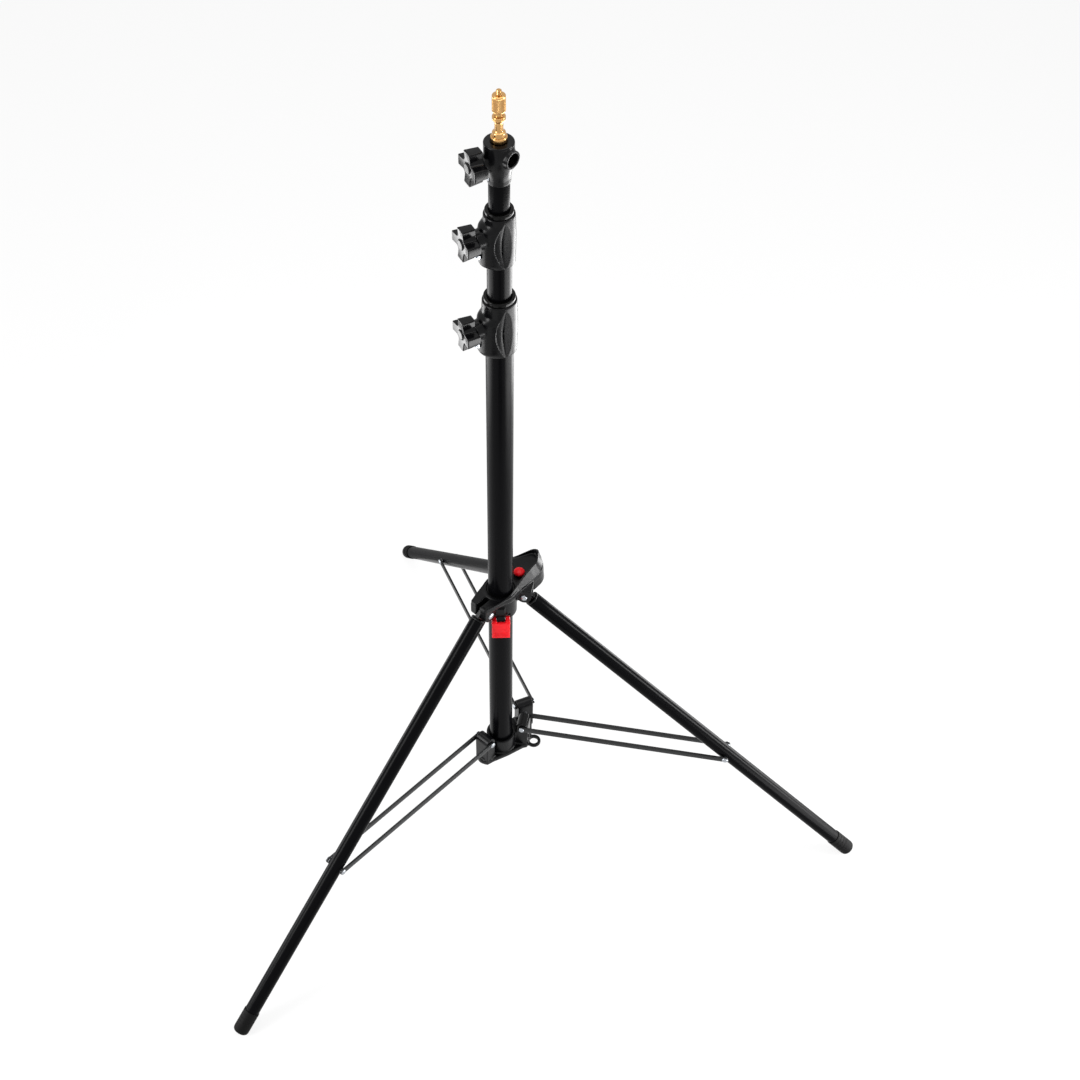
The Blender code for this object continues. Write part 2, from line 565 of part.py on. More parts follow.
def lower_hub_pieces(finish):
    """Casting at the column's foot: a plate, a ring round the tube and a post for each pair of stays."""
    here = Matrix.Identity(4)
    base = COLUMN_BOTTOM - SEAT_GAP - LOWER_HUB_FLOOR
    ring_radius = COLUMN_RADIUS + SEAT_GAP + LOWER_HUB_WALL
    discs = [(0, 0, ring_radius + LOWER_PLATE_MARGIN)]
    for leg in LEG_NAMES:
        spot = place(*PIVOT_PLACE[leg])
        discs.append((spot.x, spot.y, STAY_INNER_FACE))
    hub = solid("lower_hub", prism(wrapped_discs(discs), base, base + LOWER_PLATE_THICKNESS), here,
                finish["cast"])
    add(hub, rod(ring_radius, base + MM, base + LOWER_HUB_RING, TUBE_SIDES), here)
    width = STAY_INNER_FACE - SEAT_GAP
    for leg in LEG_NAMES:
        post = wrapped_discs([(0, 0, POST_RADIUS), (0, STAY_PIVOT_HEIGHT - base - MM, POST_RADIUS * 0.9)])
        frame = pin_frame(upright_frame(leg, STAY_PIVOT_HEIGHT))
        add(hub, prism(post, -width, width), frame)
    for leg in LEG_NAMES:
        frame = pin_frame(upright_frame(leg, STAY_PIVOT_HEIGHT))
        cut(hub, block((-POST_RADIUS * 2, STAY_PIVOT_HEIGHT - base, -2 * width),
                       (POST_RADIUS * 2, STAY_PIVOT_HEIGHT, 2 * width)), frame)
        cut(hub, rod(STAY_PIN_RADIUS + PIN_GAP, -2 * width, 2 * width), frame)
    eye = upright_frame("right", base)
    eye_centre = Matrix.Translation((STRAP_EYE_REACH, 0, 0))
    add(hub, rod(STRAP_EYE_RADIUS + STRAP_EYE_WALL, MM, LOWER_PLATE_THICKNESS - MM, PIN_SIDES * 2),
        eye @ eye_centre)
    cut(hub, rod(STRAP_EYE_RADIUS, -MM, LOWER_PLATE_THICKNESS + MM, PIN_SIDES * 2), eye @ eye_centre)
    cut(hub, rod(COLUMN_RADIUS + SEAT_GAP, COLUMN_BOTTOM - SEAT_GAP, COLUMN_BOTTOM + LOWER_HUB_RING * 2,
                 TUBE_SIDES), here)

    reach = STAY_OUTER_FACE + SEAT_GAP
    head = reach + STAY_PIN_HEAD_HEIGHT
    profile = [(0, -head), (STAY_PIN_HEAD - MM, -head), (STAY_PIN_HEAD, -head + MM),
               (STAY_PIN_HEAD, -reach), (STAY_PIN_RADIUS, -reach), (STAY_PIN_RADIUS, reach),
               (STAY_PIN_HEAD, reach), (STAY_PIN_HEAD, head - MM), (STAY_PIN_HEAD - MM, head), (0, head)]
    for leg in LEG_NAMES:
        frame = pin_frame(upright_frame(leg, STAY_PIVOT_HEIGHT))
        solid(f"stay_pin_{leg}", turned(profile, PIN_SIDES), frame, finish["zinc"])


def upper_hub_pieces(finish):
    """Sliding casting that carries the legs, with its bush and leg pins."""
    here = Matrix.Translation((0, 0, PIVOT_HEIGHT))
    low = HUB_PLATE_RISE
    top = low + HUB_PLATE_THICKNESS
    right = place(*PIVOT_PLACE["right"])
    left = place(*PIVOT_PLACE["left"])

    corner_x = SLOT_WIDTH / 2 + FRONT_CHEEK - FRONT_CORNER
    corner_y = -PIVOT_REACH - FORK_RADIUS + FRONT_CORNER

    def plate_outline(inset):
        return wrapped_discs([(0, 0, SLEEVE_RADIUS + HUB_PLATE_MARGIN - inset),
                              (right.x, right.y, RIGHT_DISC - inset),
                              (left.x, left.y, LEFT_DISC - inset),
                              (-corner_x, corner_y, FRONT_CORNER - inset / 2),
                              (corner_x, corner_y, FRONT_CORNER - inset / 2)])

    hub = solid("upper_hub", prism(plate_outline(0), low, top), here, finish["cast"])
    add(hub, rod(SLEEVE_RADIUS, -HUB_SLEEVE_DROP, top - MM, TUBE_SIDES), here)

    rim_top = top + RIM_HEIGHT
    rim = tool(prism(plate_outline(0.1 * MM), top - MM, rim_top), here)
    cut(rim, prism(plate_outline(RIM_THICKNESS), top - 2 * MM, rim_top + MM), here)
    far = LEFT_PIVOT_REACH * 3
    cut(rim, block((-far, -far, top - 2 * MM), (MM, far, rim_top + MM)), here)
    slope = here @ Matrix.Translation((0, LEFT_PIVOT_REACH, rim_top)) @ Matrix.Rotation(
        math.radians(RIM_SLOPE), 4, "X")
    cut(rim, block((-far, -far, 0), (far, far, RIM_HEIGHT * 3)), slope)
    combine(hub, rim, "UNION")
    skirt = tool(prism(plate_outline(0.1 * MM), -SKIRT_DROP, low + MM), here)
    cut(skirt, prism(plate_outline(RIM_THICKNESS), -far, far), here)
    cut(skirt, block((-far, -far, -far), (MM, far, far)), here)
    cut(skirt, block((-far, -far, -far), (far, SKIRT_START, far)), here)
    combine(hub, skirt, "UNION")

    for leg in LEG_NAMES:
        cheek = FRONT_CHEEK if leg == "front" else REAR_CHEEK
        half = SLOT_WIDTH / 2 + cheek
        frame = upright_frame(leg, PIVOT_HEIGHT)
        rise = top - HUB_PLATE_THICKNESS / 2
        add(hub, prism(arch(FORK_RADIUS - 0.1 * MM, rise), -half, half), pin_frame(frame))
        if leg == "front":
            add(hub, block((-PIVOT_REACH + COLUMN_RADIUS, MM - half, -FORK_RADIUS / 2), (0, half - MM, rise)),
                frame)
    lug_frame = radial_frame(LEVER_AZIMUTH, LEVER_PIN_HEIGHT)
    window = LEVER_WIDTH / 2 + FOLD_GAP
    cut(hub, block((-window, -far, 0), (window, LEVER_PIN_DROP - LEVER_WINDOW_DROP, far)), lug_frame)
    lug_axis = lug_frame @ Matrix.Translation((0, 0, LEVER_PIN_REACH)) @ Matrix.Rotation(
        math.pi / 2, 4, "Y")
    add(hub, rod(LUG_RADIUS, -LUG_WIDTH / 2, LUG_WIDTH / 2, PIN_SIDES * 2), lug_axis)
    add(hub, block((-LUG_WIDTH / 2 + 0.1 * MM, 0, LEVER_PIN_REACH - LUG_RADIUS),
                   (LUG_WIDTH / 2 - 0.1 * MM, LEVER_PIN_DROP, LEVER_PIN_REACH + MM)), lug_frame)

    cut(hub, rod(SLEEVE_INNER, -3 * HUB_SLEEVE_DROP, rim_top + MM, TUBE_SIDES), here)
    for leg in LEG_NAMES:
        frame = upright_frame(leg, PIVOT_HEIGHT)
        slot_top = far if leg == "front" else HUB_PLATE_RISE
        slot_inner = TONGUE_RADIUS + FOLD_GAP
        cut(hub, block((-slot_inner, -SLOT_WIDTH / 2, -far), (far, SLOT_WIDTH / 2, slot_top)), frame)
        hole = (FRONT_CHEEK if leg == "front" else REAR_CHEEK) + SLOT_WIDTH
        cut(hub, rod(HUB_PIN_RADIUS + PIN_GAP, -hole, hole), pin_frame(frame))
    cut(hub, rod(LEVER_PIN_RADIUS + PIN_GAP, -LUG_WIDTH, LUG_WIDTH), lug_axis)
    button_hole = BUTTON_STEM_RADIUS + SLIDE_GAP
    cut(hub, rod(button_hole, low - MM, rim_top), here @ Matrix.Translation((*BUTTON_PLACE, 0)))

    bush_outer = SLEEVE_INNER - SEAT_GAP
    bush_bore = COLUMN_RADIUS + SLIDE_GAP
    solid("hub_bush", pipe(bush_outer, bush_bore, -HUB_SLEEVE_DROP, top - MM), here,
          finish["plastic"])

    for leg in LEG_NAMES:
        cheek = FRONT_CHEEK if leg == "front" else REAR_CHEEK
        reach = SLOT_WIDTH / 2 + cheek + SEAT_GAP
        head = reach + HUB_PIN_HEAD_HEIGHT
        profile = [(0, -head), (HUB_PIN_HEAD - MM, -head), (HUB_PIN_HEAD, -head + MM),
                   (HUB_PIN_HEAD, -reach), (HUB_PIN_RADIUS, -reach), (HUB_PIN_RADIUS, reach),
                   (HUB_PIN_HEAD, reach), (HUB_PIN_HEAD, head - MM), (HUB_PIN_HEAD - MM, head), (0, head)]
        solid(f"leg_pin_{leg}", turned(profile, PIN_SIDES), pin_frame(upright_frame(leg, PIVOT_HEIGHT)),
              finish["zinc"])


def lever_pieces(finish):
    """Red cam lever on its pin, below the upper hub's sleeve. It turns about local X of its frame."""
    frame = radial_frame(LEVER_AZIMUTH, LEVER_PIN_HEIGHT) @ Matrix.Translation((0, 0, LEVER_PIN_REACH))
    half = LEVER_WIDTH / 2
    lever = solid("cam_lever", block((-half, -LEVER_LENGTH, LEVER_INNER),
                                     (half, 0, LEVER_INNER + LEVER_PLATE)),
                  frame, finish["red"])
    edge = lever.modifiers.new("edge", "BEVEL")
    edge.width = MM
    edge.segments = 2
    cheek_inner = LUG_WIDTH / 2 + SEAT_GAP
    side = Matrix.Rotation(math.pi / 2, 4, "Y")
    cheek = wrapped_discs([(0, 0, LUG_RADIUS), (-LEVER_INNER, -LUG_RADIUS, LUG_RADIUS / 2)])
    for low, high in ((-half + MM, -cheek_inner), (cheek_inner, half - MM)):
        add(lever, prism(cheek, low, high), frame @ side)
    cut(lever, rod(LEVER_PIN_RADIUS + PIN_GAP, -LEVER_WIDTH, LEVER_WIDTH), frame @ side)
    head = half - MM + SEAT_GAP
    profile = [(0, -head - MM), (LEVER_PIN_HEAD, -head - MM), (LEVER_PIN_HEAD, -head),
               (LEVER_PIN_RADIUS, -head), (LEVER_PIN_RADIUS, head), (LEVER_PIN_HEAD, head),
               (LEVER_PIN_HEAD, head + MM), (0, head + MM)]
    solid("lever_pin", turned(profile, PIN_SIDES), frame @ side, finish["zinc"])


def button_piece(finish):
    """Red push button: a dome on a stem that slides in the plate."""
    low = BUTTON_TRAVEL + SEAT_GAP
    profile = [(0, -HUB_PLATE_THICKNESS + BUTTON_TRAVEL + MM)]
    profile.append((BUTTON_STEM_RADIUS, -HUB_PLATE_THICKNESS + BUTTON_TRAVEL + MM))
    profile.append((BUTTON_STEM_RADIUS, low))
    profile.append((BUTTON_RADIUS, low))
    steps = 5
    for step in range(steps + 1):
        angle = math.pi / 2 * step / steps
        height = low + BUTTON_SKIRT + BUTTON_DOME * math.sin(angle)
        profile.append((BUTTON_RADIUS * math.cos(angle) if step < steps else 0, height))
    solid("push_button", turned(profile, 24), Matrix.Translation((*BUTTON_PLACE, PLATE_TOP)),
          finish["red"])


def leg_pieces(finish, leg):
    """Leg tube with its fitting and foot, in a frame on the pivot whose local -Z runs down the leg."""
    pivot = bpy.data.objects.new(f"leg_pivot_{leg}", None)
    bpy.context.scene.collection.objects.link(pivot)
    pivot.matrix_world = upright_frame(leg, PIVOT_HEIGHT) @ Matrix.Rotation(-TILT, 4, "Y")
    here = Matrix.Identity(4)
    bore = LEG_RADIUS - TUBE_WALL
    end = -LEG_LENGTH
    tube_end = end + FOOT_SOLE + SEAT_GAP
    solid(f"leg_tube_{leg}", pipe(LEG_RADIUS, bore, tube_end, -LEG_TUBE_START, 24), here,
          finish["anodised"], pivot)

    seat = -LEG_TUBE_START + SEAT_GAP
    plug = bore - SEAT_GAP
    shoulder = seat + SHOULDER_THICKNESS
    head = [(0, seat - LEG_PLUG_LENGTH), (plug, seat - LEG_PLUG_LENGTH), (plug, seat), (LEG_RADIUS, seat),
            (LEG_RADIUS, shoulder - MM), (LEG_RADIUS - MM, shoulder), (0, shoulder)]
    fitting = solid(f"leg_fitting_{leg}", turned(head, 24), here, finish["cast"], pivot)
    pin_axis = Matrix.Rotation(math.pi / 2, 4, "X")
    half = TONGUE_THICKNESS / 2
    add(fitting, prism(arch(TONGUE_RADIUS, MM - shoulder), -half, half), pin_axis, pivot)
    cut(fitting, rod(HUB_PIN_RADIUS + PIN_GAP, -LEG_RADIUS, LEG_RADIUS), pin_axis, pivot)

    cuff = end + FOOT_SOLE + FOOT_CUFF
    edge = FOOT_EDGE
    steps = 4
    foot = [(LEG_RADIUS + SEAT_GAP, cuff), (LEG_RADIUS + SEAT_GAP, end + FOOT_SOLE),
            (0, end + FOOT_SOLE)]
    sole = [(0, end)]
    for step in range(steps + 1):
        angle = math.pi / 2 * step / steps
        sole.append((FOOT_RADIUS - edge + edge * math.sin(angle), end + edge - edge * math.cos(angle)))
    sole.append((FOOT_RADIUS, cuff))
    rubber = solid(f"leg_foot_{leg}", turned(sole + foot, 24), here, finish["rubber"], pivot)
    far = 2 * LEG_LENGTH
    combine(rubber, tool(block((-far, -far, -LEG_LENGTH), (far, far, 0)), here), "DIFFERENCE")


def stay_pieces(finish, leg):
    """Two flat stays and their rivets, in a frame on the lower pin whose local X runs along the stays."""
    pivot = bpy.data.objects.new(f"stay_pivot_{leg}", None)
    bpy.context.scene.collection.objects.link(pivot)
    pivot.matrix_world = upright_frame(leg, STAY_PIVOT_HEIGHT) @ Matrix.Rotation(-STAY_RISE, 4, "Y")
    radius = STAY_HEIGHT / 2
    flange_end = STAY_INNER_FACE - SEAT_GAP
    leg_side = LEG_RADIUS + SEAT_GAP
    head = STAY_OUTER_FACE + SEAT_GAP
    rivet = [(0, leg_side), (RIVET_FLANGE_RADIUS, leg_side), (RIVET_FLANGE_RADIUS, flange_end),
             (STAY_PIN_RADIUS, flange_end), (STAY_PIN_RADIUS, head), (STAY_PIN_HEAD, head),
             (STAY_PIN_HEAD, head + STAY_PIN_HEAD_HEIGHT - MM),
             (STAY_PIN_HEAD - MM, head + STAY_PIN_HEAD_HEIGHT), (0, head + STAY_PIN_HEAD_HEIGHT)]
    for side, turn_over in (("a", 0), ("b", math.pi)):
        across = Matrix.Rotation(turn_over, 4, "X") @ Matrix.Rotation(-math.pi / 2, 4, "X")
        stay = solid(f"stay_{leg}_{side}",
                     prism(stadium(STAY_LENGTH, radius), STAY_INNER_FACE, STAY_OUTER_FACE),
                     across, finish["stay"], pivot)
        for spot in (0, STAY_LENGTH):
            cut(stay, rod(STAY_PIN_RADIUS + PIN_GAP, 0, STAY_OUTER_FACE * 2),
                across @ Matrix.Translation((spot, 0, 0)), pivot)
        solid(f"stay_rivet_{leg}_{side}", turned(rivet, PIN_SIDES),
              across @ Matrix.Translation((STAY_LENGTH, 0, 0)), finish["zinc"], pivot)


def finishes():
    return {
        "anodised": finish_material("black_anodised_aluminium", (0.012, 0.012, 0.014), 0.35, 0.6),
        "cast": finish_material("black_cast_aluminium", (0.02, 0.02, 0.022), 0.5, 0.3),
        "knob": finish_material("black_knob_plastic", (0.012, 0.012, 0.013), 0.3, 0.0),
        "plastic": finish_material("black_acetal", (0.01, 0.01, 0.01), 0.45, 0.0),
        "zinc": finish_material("zinc_plated_steel", (0.6, 0.62, 0.64), 0.3, 1.0),
        "brass": finish_material("turned_brass", (0.72, 0.45, 0.12), 0.25, 1.0),
        "red": finish_material("red_nylon", (0.75, 0.01, 0.015), 0.35, 0.0),
        "stay": finish_material("dark_steel", (0.04, 0.04, 0.043), 0.45, 0.7),
        "rubber": finish_material("black_rubber", (0.015, 0.015, 0.015), 0.8, 0.0),
    }


def main():
    clear_scene()
    finish = finishes()
    column_pieces(finish)
    column_bore = COLUMN_RADIUS - TUBE_WALL
    riser_1_bore = RISER_1_RADIUS - TUBE_WALL
    riser_pieces(finish, 1, RISER_1_RADIUS, column_bore, RISER_1_BOTTOM, MIDDLE_COLLAR_BOTTOM + COLLAR_GRIP)
    riser_pieces(finish, 2, RISER_2_RADIUS, riser_1_bore, RISER_2_BOTTOM, SOCKET_BOTTOM - SEAT_GAP)
    collar_pieces(finish, "lower", COLUMN_RADIUS, RISER_1_RADIUS, LOWER_COLLAR_BOTTOM, LOWER_COLLAR_HEIGHT)
    collar_pieces(finish, "middle", RISER_1_RADIUS, RISER_2_RADIUS, MIDDLE_COLLAR_BOTTOM,
                  MIDDLE_COLLAR_HEIGHT)
    socket_pieces(finish)
    brass_pieces(finish)
    lower_hub_pieces(finish)
    upper_hub_pieces(finish)
    lever_pieces(finish)
    button_piece(finish)
    for leg in LEG_NAMES:
        leg_pieces(finish, leg)
        stay_pieces(finish, leg)


main()
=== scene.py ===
"""Looks of a folding light stand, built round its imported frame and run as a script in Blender.

Lengths are metres, apart from the fields of the castings, which work in millimetres.
"""

import json

import bmesh
import bpy
import numpy as np
from bpy.props import FloatProperty, FloatVectorProperty, IntProperty, PointerProperty
from mathutils import Matrix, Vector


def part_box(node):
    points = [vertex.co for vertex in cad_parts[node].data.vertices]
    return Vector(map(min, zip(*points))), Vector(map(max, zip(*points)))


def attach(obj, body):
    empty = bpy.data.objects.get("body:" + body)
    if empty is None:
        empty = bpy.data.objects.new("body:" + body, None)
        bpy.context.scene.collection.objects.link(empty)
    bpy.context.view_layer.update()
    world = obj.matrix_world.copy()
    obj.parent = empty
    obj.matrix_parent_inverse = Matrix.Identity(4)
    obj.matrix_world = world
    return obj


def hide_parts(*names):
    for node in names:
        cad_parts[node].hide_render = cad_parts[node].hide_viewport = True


bl_info = {
    "name": "Folding light stand",
    "version": (1, 0, 0),
    "blender": (4, 5, 0),
    "location": "3D View > Sidebar > Light stand",
    "description": "Dresses the packed frame of a folding light stand for a studio picture",
    "category": "Object",
}

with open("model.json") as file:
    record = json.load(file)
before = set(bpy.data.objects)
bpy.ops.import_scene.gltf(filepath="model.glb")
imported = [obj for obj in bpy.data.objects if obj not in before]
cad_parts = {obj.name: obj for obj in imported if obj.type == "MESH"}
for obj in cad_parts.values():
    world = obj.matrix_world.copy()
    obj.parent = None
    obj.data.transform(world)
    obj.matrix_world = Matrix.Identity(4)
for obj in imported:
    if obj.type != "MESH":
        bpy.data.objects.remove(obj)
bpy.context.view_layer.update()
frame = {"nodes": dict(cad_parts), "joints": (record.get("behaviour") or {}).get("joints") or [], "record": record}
JOINTS = {joint["name"]: joint for joint in frame["joints"]}
LEGS = ("front", "right", "left")
MM = 0.001
UP = np.array([0.0, 0.0, 1.0])
GAP = 0.3  # Millimetres between faces that lie against each other
FINE_STEP = 0.5  # Grid step in millimetres of the small castings
FORK_HALF = {"front": 14.8, "right": 9.8, "left": 9.8}  # Half widths in millimetres of the hub's forks


def srgb(code):
    """Linear colour of an sRGB hex value."""
    parts = np.array([int(code[start:start + 2], 16) for start in (1, 3, 5)]) / 255
    linear = np.where(parts <= 0.04045, parts / 12.92, ((parts + 0.055) / 1.055) ** 2.4)
    return tuple(float(part) for part in linear)


def node_span(node, axis=2):
    """Lowest and highest value of a frame node along one axis."""
    low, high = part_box(node)
    return low[axis], high[axis]


def node_middle(node):
    """Middle of a frame node's box."""
    low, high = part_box(node)
    return (np.array(low) + high) / 2


def unit(vector):
    """Vector of length 1 in the same direction."""
    vector = np.asarray(vector, float)
    return vector / np.linalg.norm(vector)


def frame_at(origin, along, side):
    """Local frame as rows: X, Y, Z and the origin. Local Z runs along, local Y towards the side."""
    z = unit(along)
    x = unit(np.cross(side, z))
    return np.array([x, np.cross(z, x), z, origin])


def plain_frame(height):
    """Frame on the column's axis at a height, with the part's own axes."""
    return np.array([[1, 0, 0], [0, 1, 0], [0, 0, 1], [0, 0, height]], float)


def pin_frame(name):
    """Frame on a joint: local Z runs along its axis, local Y up."""
    joint = JOINTS[name]
    return frame_at(joint["pos_m"], joint["axis"], UP)


def put(points, place):
    """Points of a local frame, in the part's own axes."""
    return points @ place[:3] + place[3]


def outward(leg):
    """Level direction in which a leg runs, square to its pin."""
    pin = JOINTS[f"leg_fold_{leg}"]["axis"]
    return np.array([pin[1], -pin[0], 0.0])


def leg_frame(leg, tilt):
    """Frame on a leg's pivot: local Z runs down the leg and local Y along its pin."""
    joint = JOINTS[f"leg_fold_{leg}"]
    down = outward(leg) * np.sin(tilt) - UP * np.cos(tilt)
    return frame_at(joint["pos_m"], down, joint["axis"])


def stay_frame(leg):
    """Frame on a pair of stays' lower pin, with local X along the stays and local Z along the pin, and
    the distance from that pin to the rivets."""
    joint = JOINTS[f"stay_fold_{leg}"]
    first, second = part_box(f"stay_rivet_{leg}_a"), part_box(f"stay_rivet_{leg}_b")
    rivets = (np.array(first[0]) + first[1] + second[0] + second[1]) / 4
    along = rivets - joint["pos_m"]
    pin = -np.array(joint["axis"])
    return frame_at(joint["pos_m"], pin, np.cross(pin, along)), np.linalg.norm(along)


def turn_to(direction, x, y):
    """Level distances along a direction, and square to it."""
    return x * direction[0] + y * direction[1], y * direction[0] - x * direction[1]


def along_leg(leg, fold, x, y):
    """Level distances in millimetres from the pivot of a leg or of its stays: out along the leg, and
    along the pin."""
    spot = np.array(JOINTS[f"{fold}_fold_{leg}"]["pos_m"]) / MM
    return turn_to(outward(leg), x - spot[0], y - spot[1])


def rounded(rows, steps=4, closed=False):
    """Path through corners, each a row of two coordinates and a bend. A corner becomes a parabola that
    starts and ends one bend from it, or less than half of a shorter side."""
    rows = np.asarray(rows, float)
    corners, bend = rows[:, :-1], rows[:, -1:]

    def back_off(neighbours):
        gap = neighbours - corners
        length = np.maximum(np.linalg.norm(gap, axis=1, keepdims=True), 1e-12)
        return corners + gap / length * np.minimum(bend, 0.45 * length)

    start = back_off(np.roll(corners, 1, 0))[:, None]
    end = back_off(np.roll(corners, -1, 0))[:, None]
    t = np.linspace(0, 1, steps + 1)[None, :, None]
    arcs = (1 - t) ** 2 * start + 2 * t * (1 - t) * corners[:, None] + t ** 2 * end
    if closed:
        return arcs.reshape(-1, corners.shape[1])
    return np.concatenate([corners[:1], arcs[1:-1].reshape(-1, corners.shape[1]), corners[-1:]])


def turned(profile, sides=96):
    """Surface of revolution about local Z: at angle u it has the points (r cos u, r sin u, h)."""
    radius, height = np.asarray(profile, float).T
    u = np.linspace(0, 2 * np.pi, sides, endpoint=False)[:, None]
    return np.stack([radius * np.cos(u), radius * np.sin(u), height + 0 * u], -1)


def pipe(outer, inner, low, high, edge, sides=96):
    """Tube: a rectangle with rounded corners turned about local Z. Long walls are cut in steps."""
    cuts = np.linspace(low, high, 26)[1:-1]
    wall = rounded([(inner, low, edge), (outer, low, edge), (outer, high, edge), (inner, high, edge)], 3,
                   closed=True)
    first = np.flatnonzero((wall[:, 0] == wall[:, 0].max()) & (wall[:, 1] < (low + high) / 2))[-1]
    rings = np.stack([np.full_like(cuts, outer), cuts], -1)
    return turned(np.insert(wall, first + 1, rings, 0), sides)


def slab(outline, heart, low, high, edge, steps=4):
    """Plate with round edges: the outline is carried over a profile that runs from the heart line
    of the lower face, round both edges, to the heart line of the upper face."""
    outline = np.asarray(outline, float)
    heart = np.broadcast_to(np.asarray(heart, float), outline.shape)
    ahead = np.roll(outline, -1, 0) - np.roll(outline, 1, 0)
    normal = np.stack([ahead[:, 1], -ahead[:, 0]], -1)
    normal /= np.linalg.norm(normal, axis=1, keepdims=True)
    angle = np.linspace(0, np.pi / 2, steps + 1)
    inset = edge * (1 - np.sin(angle))
    rise = edge * (1 - np.cos(angle))
    inset = np.concatenate([inset, inset[::-1]])
    level = np.concatenate([low + rise, high - rise[::-1]])
    rim = outline[:, None] - normal[:, None] * inset[None, :, None]
    rim = np.concatenate([rim, np.broadcast_to(level, rim.shape[:2])[..., None]], -1)
    ends = [np.concatenate([heart, np.full((len(heart), 1), z)], 1)[:, None] for z in (low, high)]
    return np.concatenate([ends[0], rim, ends[1]], 1)


def stadium(length, radius, sides=24):
    """Outline of a bar with round ends from the origin along X, and the line down its middle."""
    half = np.linspace(-np.pi / 2, np.pi / 2, sides)
    far = np.stack([length + radius * np.cos(half), radius * np.sin(half)], -1)
    near = np.stack([-radius * np.cos(half), -radius * np.sin(half)], -1)
    cuts = np.linspace(0, length, 18)[1:-1]
    lower = np.stack([cuts, np.full_like(cuts, -radius)], -1)
    upper = np.stack([cuts[::-1], np.full_like(cuts, radius)], -1)
    outline = np.concatenate([lower, far, upper, near])
    heart = np.stack([np.clip(outline[:, 0], 0, length), 0 * outline[:, 1]], -1)
    return outline, heart


def grid_faces(grid, ring, start):
    """Quads and UVs of a grid of points that wraps round in u, and in v where it is a ring. UVs run
    in metres: mean girth along u, length of the profile along v."""
    nu, nv = grid.shape[:2]
    u, v = np.meshgrid(np.arange(nu), np.arange(nv if ring else nv - 1), indexing="ij")
    corner_u = np.stack([u, u + 1, u + 1, u], -1)
    corner_v = np.stack([v, v, v + 1, v + 1], -1)
    girth = np.linalg.norm(grid - np.roll(grid, -1, 0), axis=-1).sum(0).mean()
    length = np.linalg.norm(np.roll(grid, -1, 1) - grid, axis=-1).mean(0)
    along = np.concatenate([[0], np.cumsum(length)])
    faces = start + (corner_u % nu) * nv + corner_v % nv
    uvs = np.stack([corner_u / nu * girth, along[corner_v]], -1)
    return faces.reshape(-1, 4), uvs.reshape(-1, 2)


def piece(name, grids, body, slot, node, sharp=40, ring=False):
    """Object made of closed surfaces, each a grid of points that wraps round in u, and in v where it is
    a ring. Its doubles are merged, which closes seams and poles, and its faces turned outwards."""
    faces, uvs, start = [], [], 0
    for grid in grids:
        some_faces, some_uvs = grid_faces(grid, ring, start)
        faces.append(some_faces)
        uvs.append(some_uvs)
        start += grid.shape[0] * grid.shape[1]
    points = np.concatenate([grid.reshape(-1, 3) for grid in grids])
    mesh = bpy.data.meshes.new(name)
    mesh.from_pydata(points.tolist(), [], np.concatenate(faces).tolist())
    mesh.uv_layers.new(name="UVMap").uv.foreach_set("vector", np.concatenate(uvs).ravel())
    shape = bmesh.new()
    shape.from_mesh(mesh)
    bmesh.ops.remove_doubles(shape, verts=shape.verts, dist=1e-7)
    bmesh.ops.recalc_face_normals(shape, faces=shape.faces)
    shape.to_mesh(mesh)
    shape.free()
    dress(name, mesh, body, slot, node, sharp)


def dress(name, mesh, body, slot, node, sharp=None):
    """Object for a finished mesh that rides on a body, wears a slot's finish and stands for a frame
    node. Where an angle in degrees is given, edges past it stay sharp."""
    mesh.shade_smooth()
    if sharp:
        mesh.set_sharp_from_angle(angle=np.radians(sharp))
    mesh.materials.append(finish(slot))
    obj = bpy.data.objects.new(name, mesh)
    bpy.context.scene.collection.objects.link(obj)
    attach(obj, body)
    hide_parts(node)


def smooth_min(a, b, blend):
    """Lower of two distances, with the corner between them filled by a parabola."""
    overlap = np.maximum(blend - np.abs(a - b), 0) / blend
    return np.minimum(a, b) - overlap ** 2 * blend / 4


def smooth_max(a, b, blend):
    """Higher of two distances, with the edge between them rounded by a parabola."""
    return -smooth_min(-a, -b, blend)


def smooth_step(value, low, high):
    """Rises from 0 at the low value to 1 at the high one, level at both ends."""
    share = np.clip((value - low) / (high - low), 0, 1)
    return share ** 2 * (3 - 2 * share)


def bar(across, along, radius, low, high, edge):
    """Distance to a round bar from its distance across and along, with rounded ends."""
    return smooth_max(across - radius, np.maximum(low - along, along - high), edge)


def arch(across, height, radius):
    """Distance to a bar with straight sides above height 0 and a round end below it."""
    return np.where(height < 0, np.hypot(across, height), np.abs(across) + 0 * height) - radius


def band(x, y, discs):
    """Distance to a band stretched round discs: over all directions, the largest of the point's own
    reach less the reach of the discs."""
    angles = np.linspace(0, 2 * np.pi, 144, endpoint=False)
    cosines, sines = np.cos(angles), np.sin(angles)
    reach = np.max([cx * cosines + cy * sines + radius for cx, cy, radius in discs], axis=0)
    distance = x * 0 + y * 0 - 1e6
    for cosine, sine, limit in zip(cosines, sines, reach):
        distance = np.maximum(distance, x * cosine + y * sine - limit)
    return distance


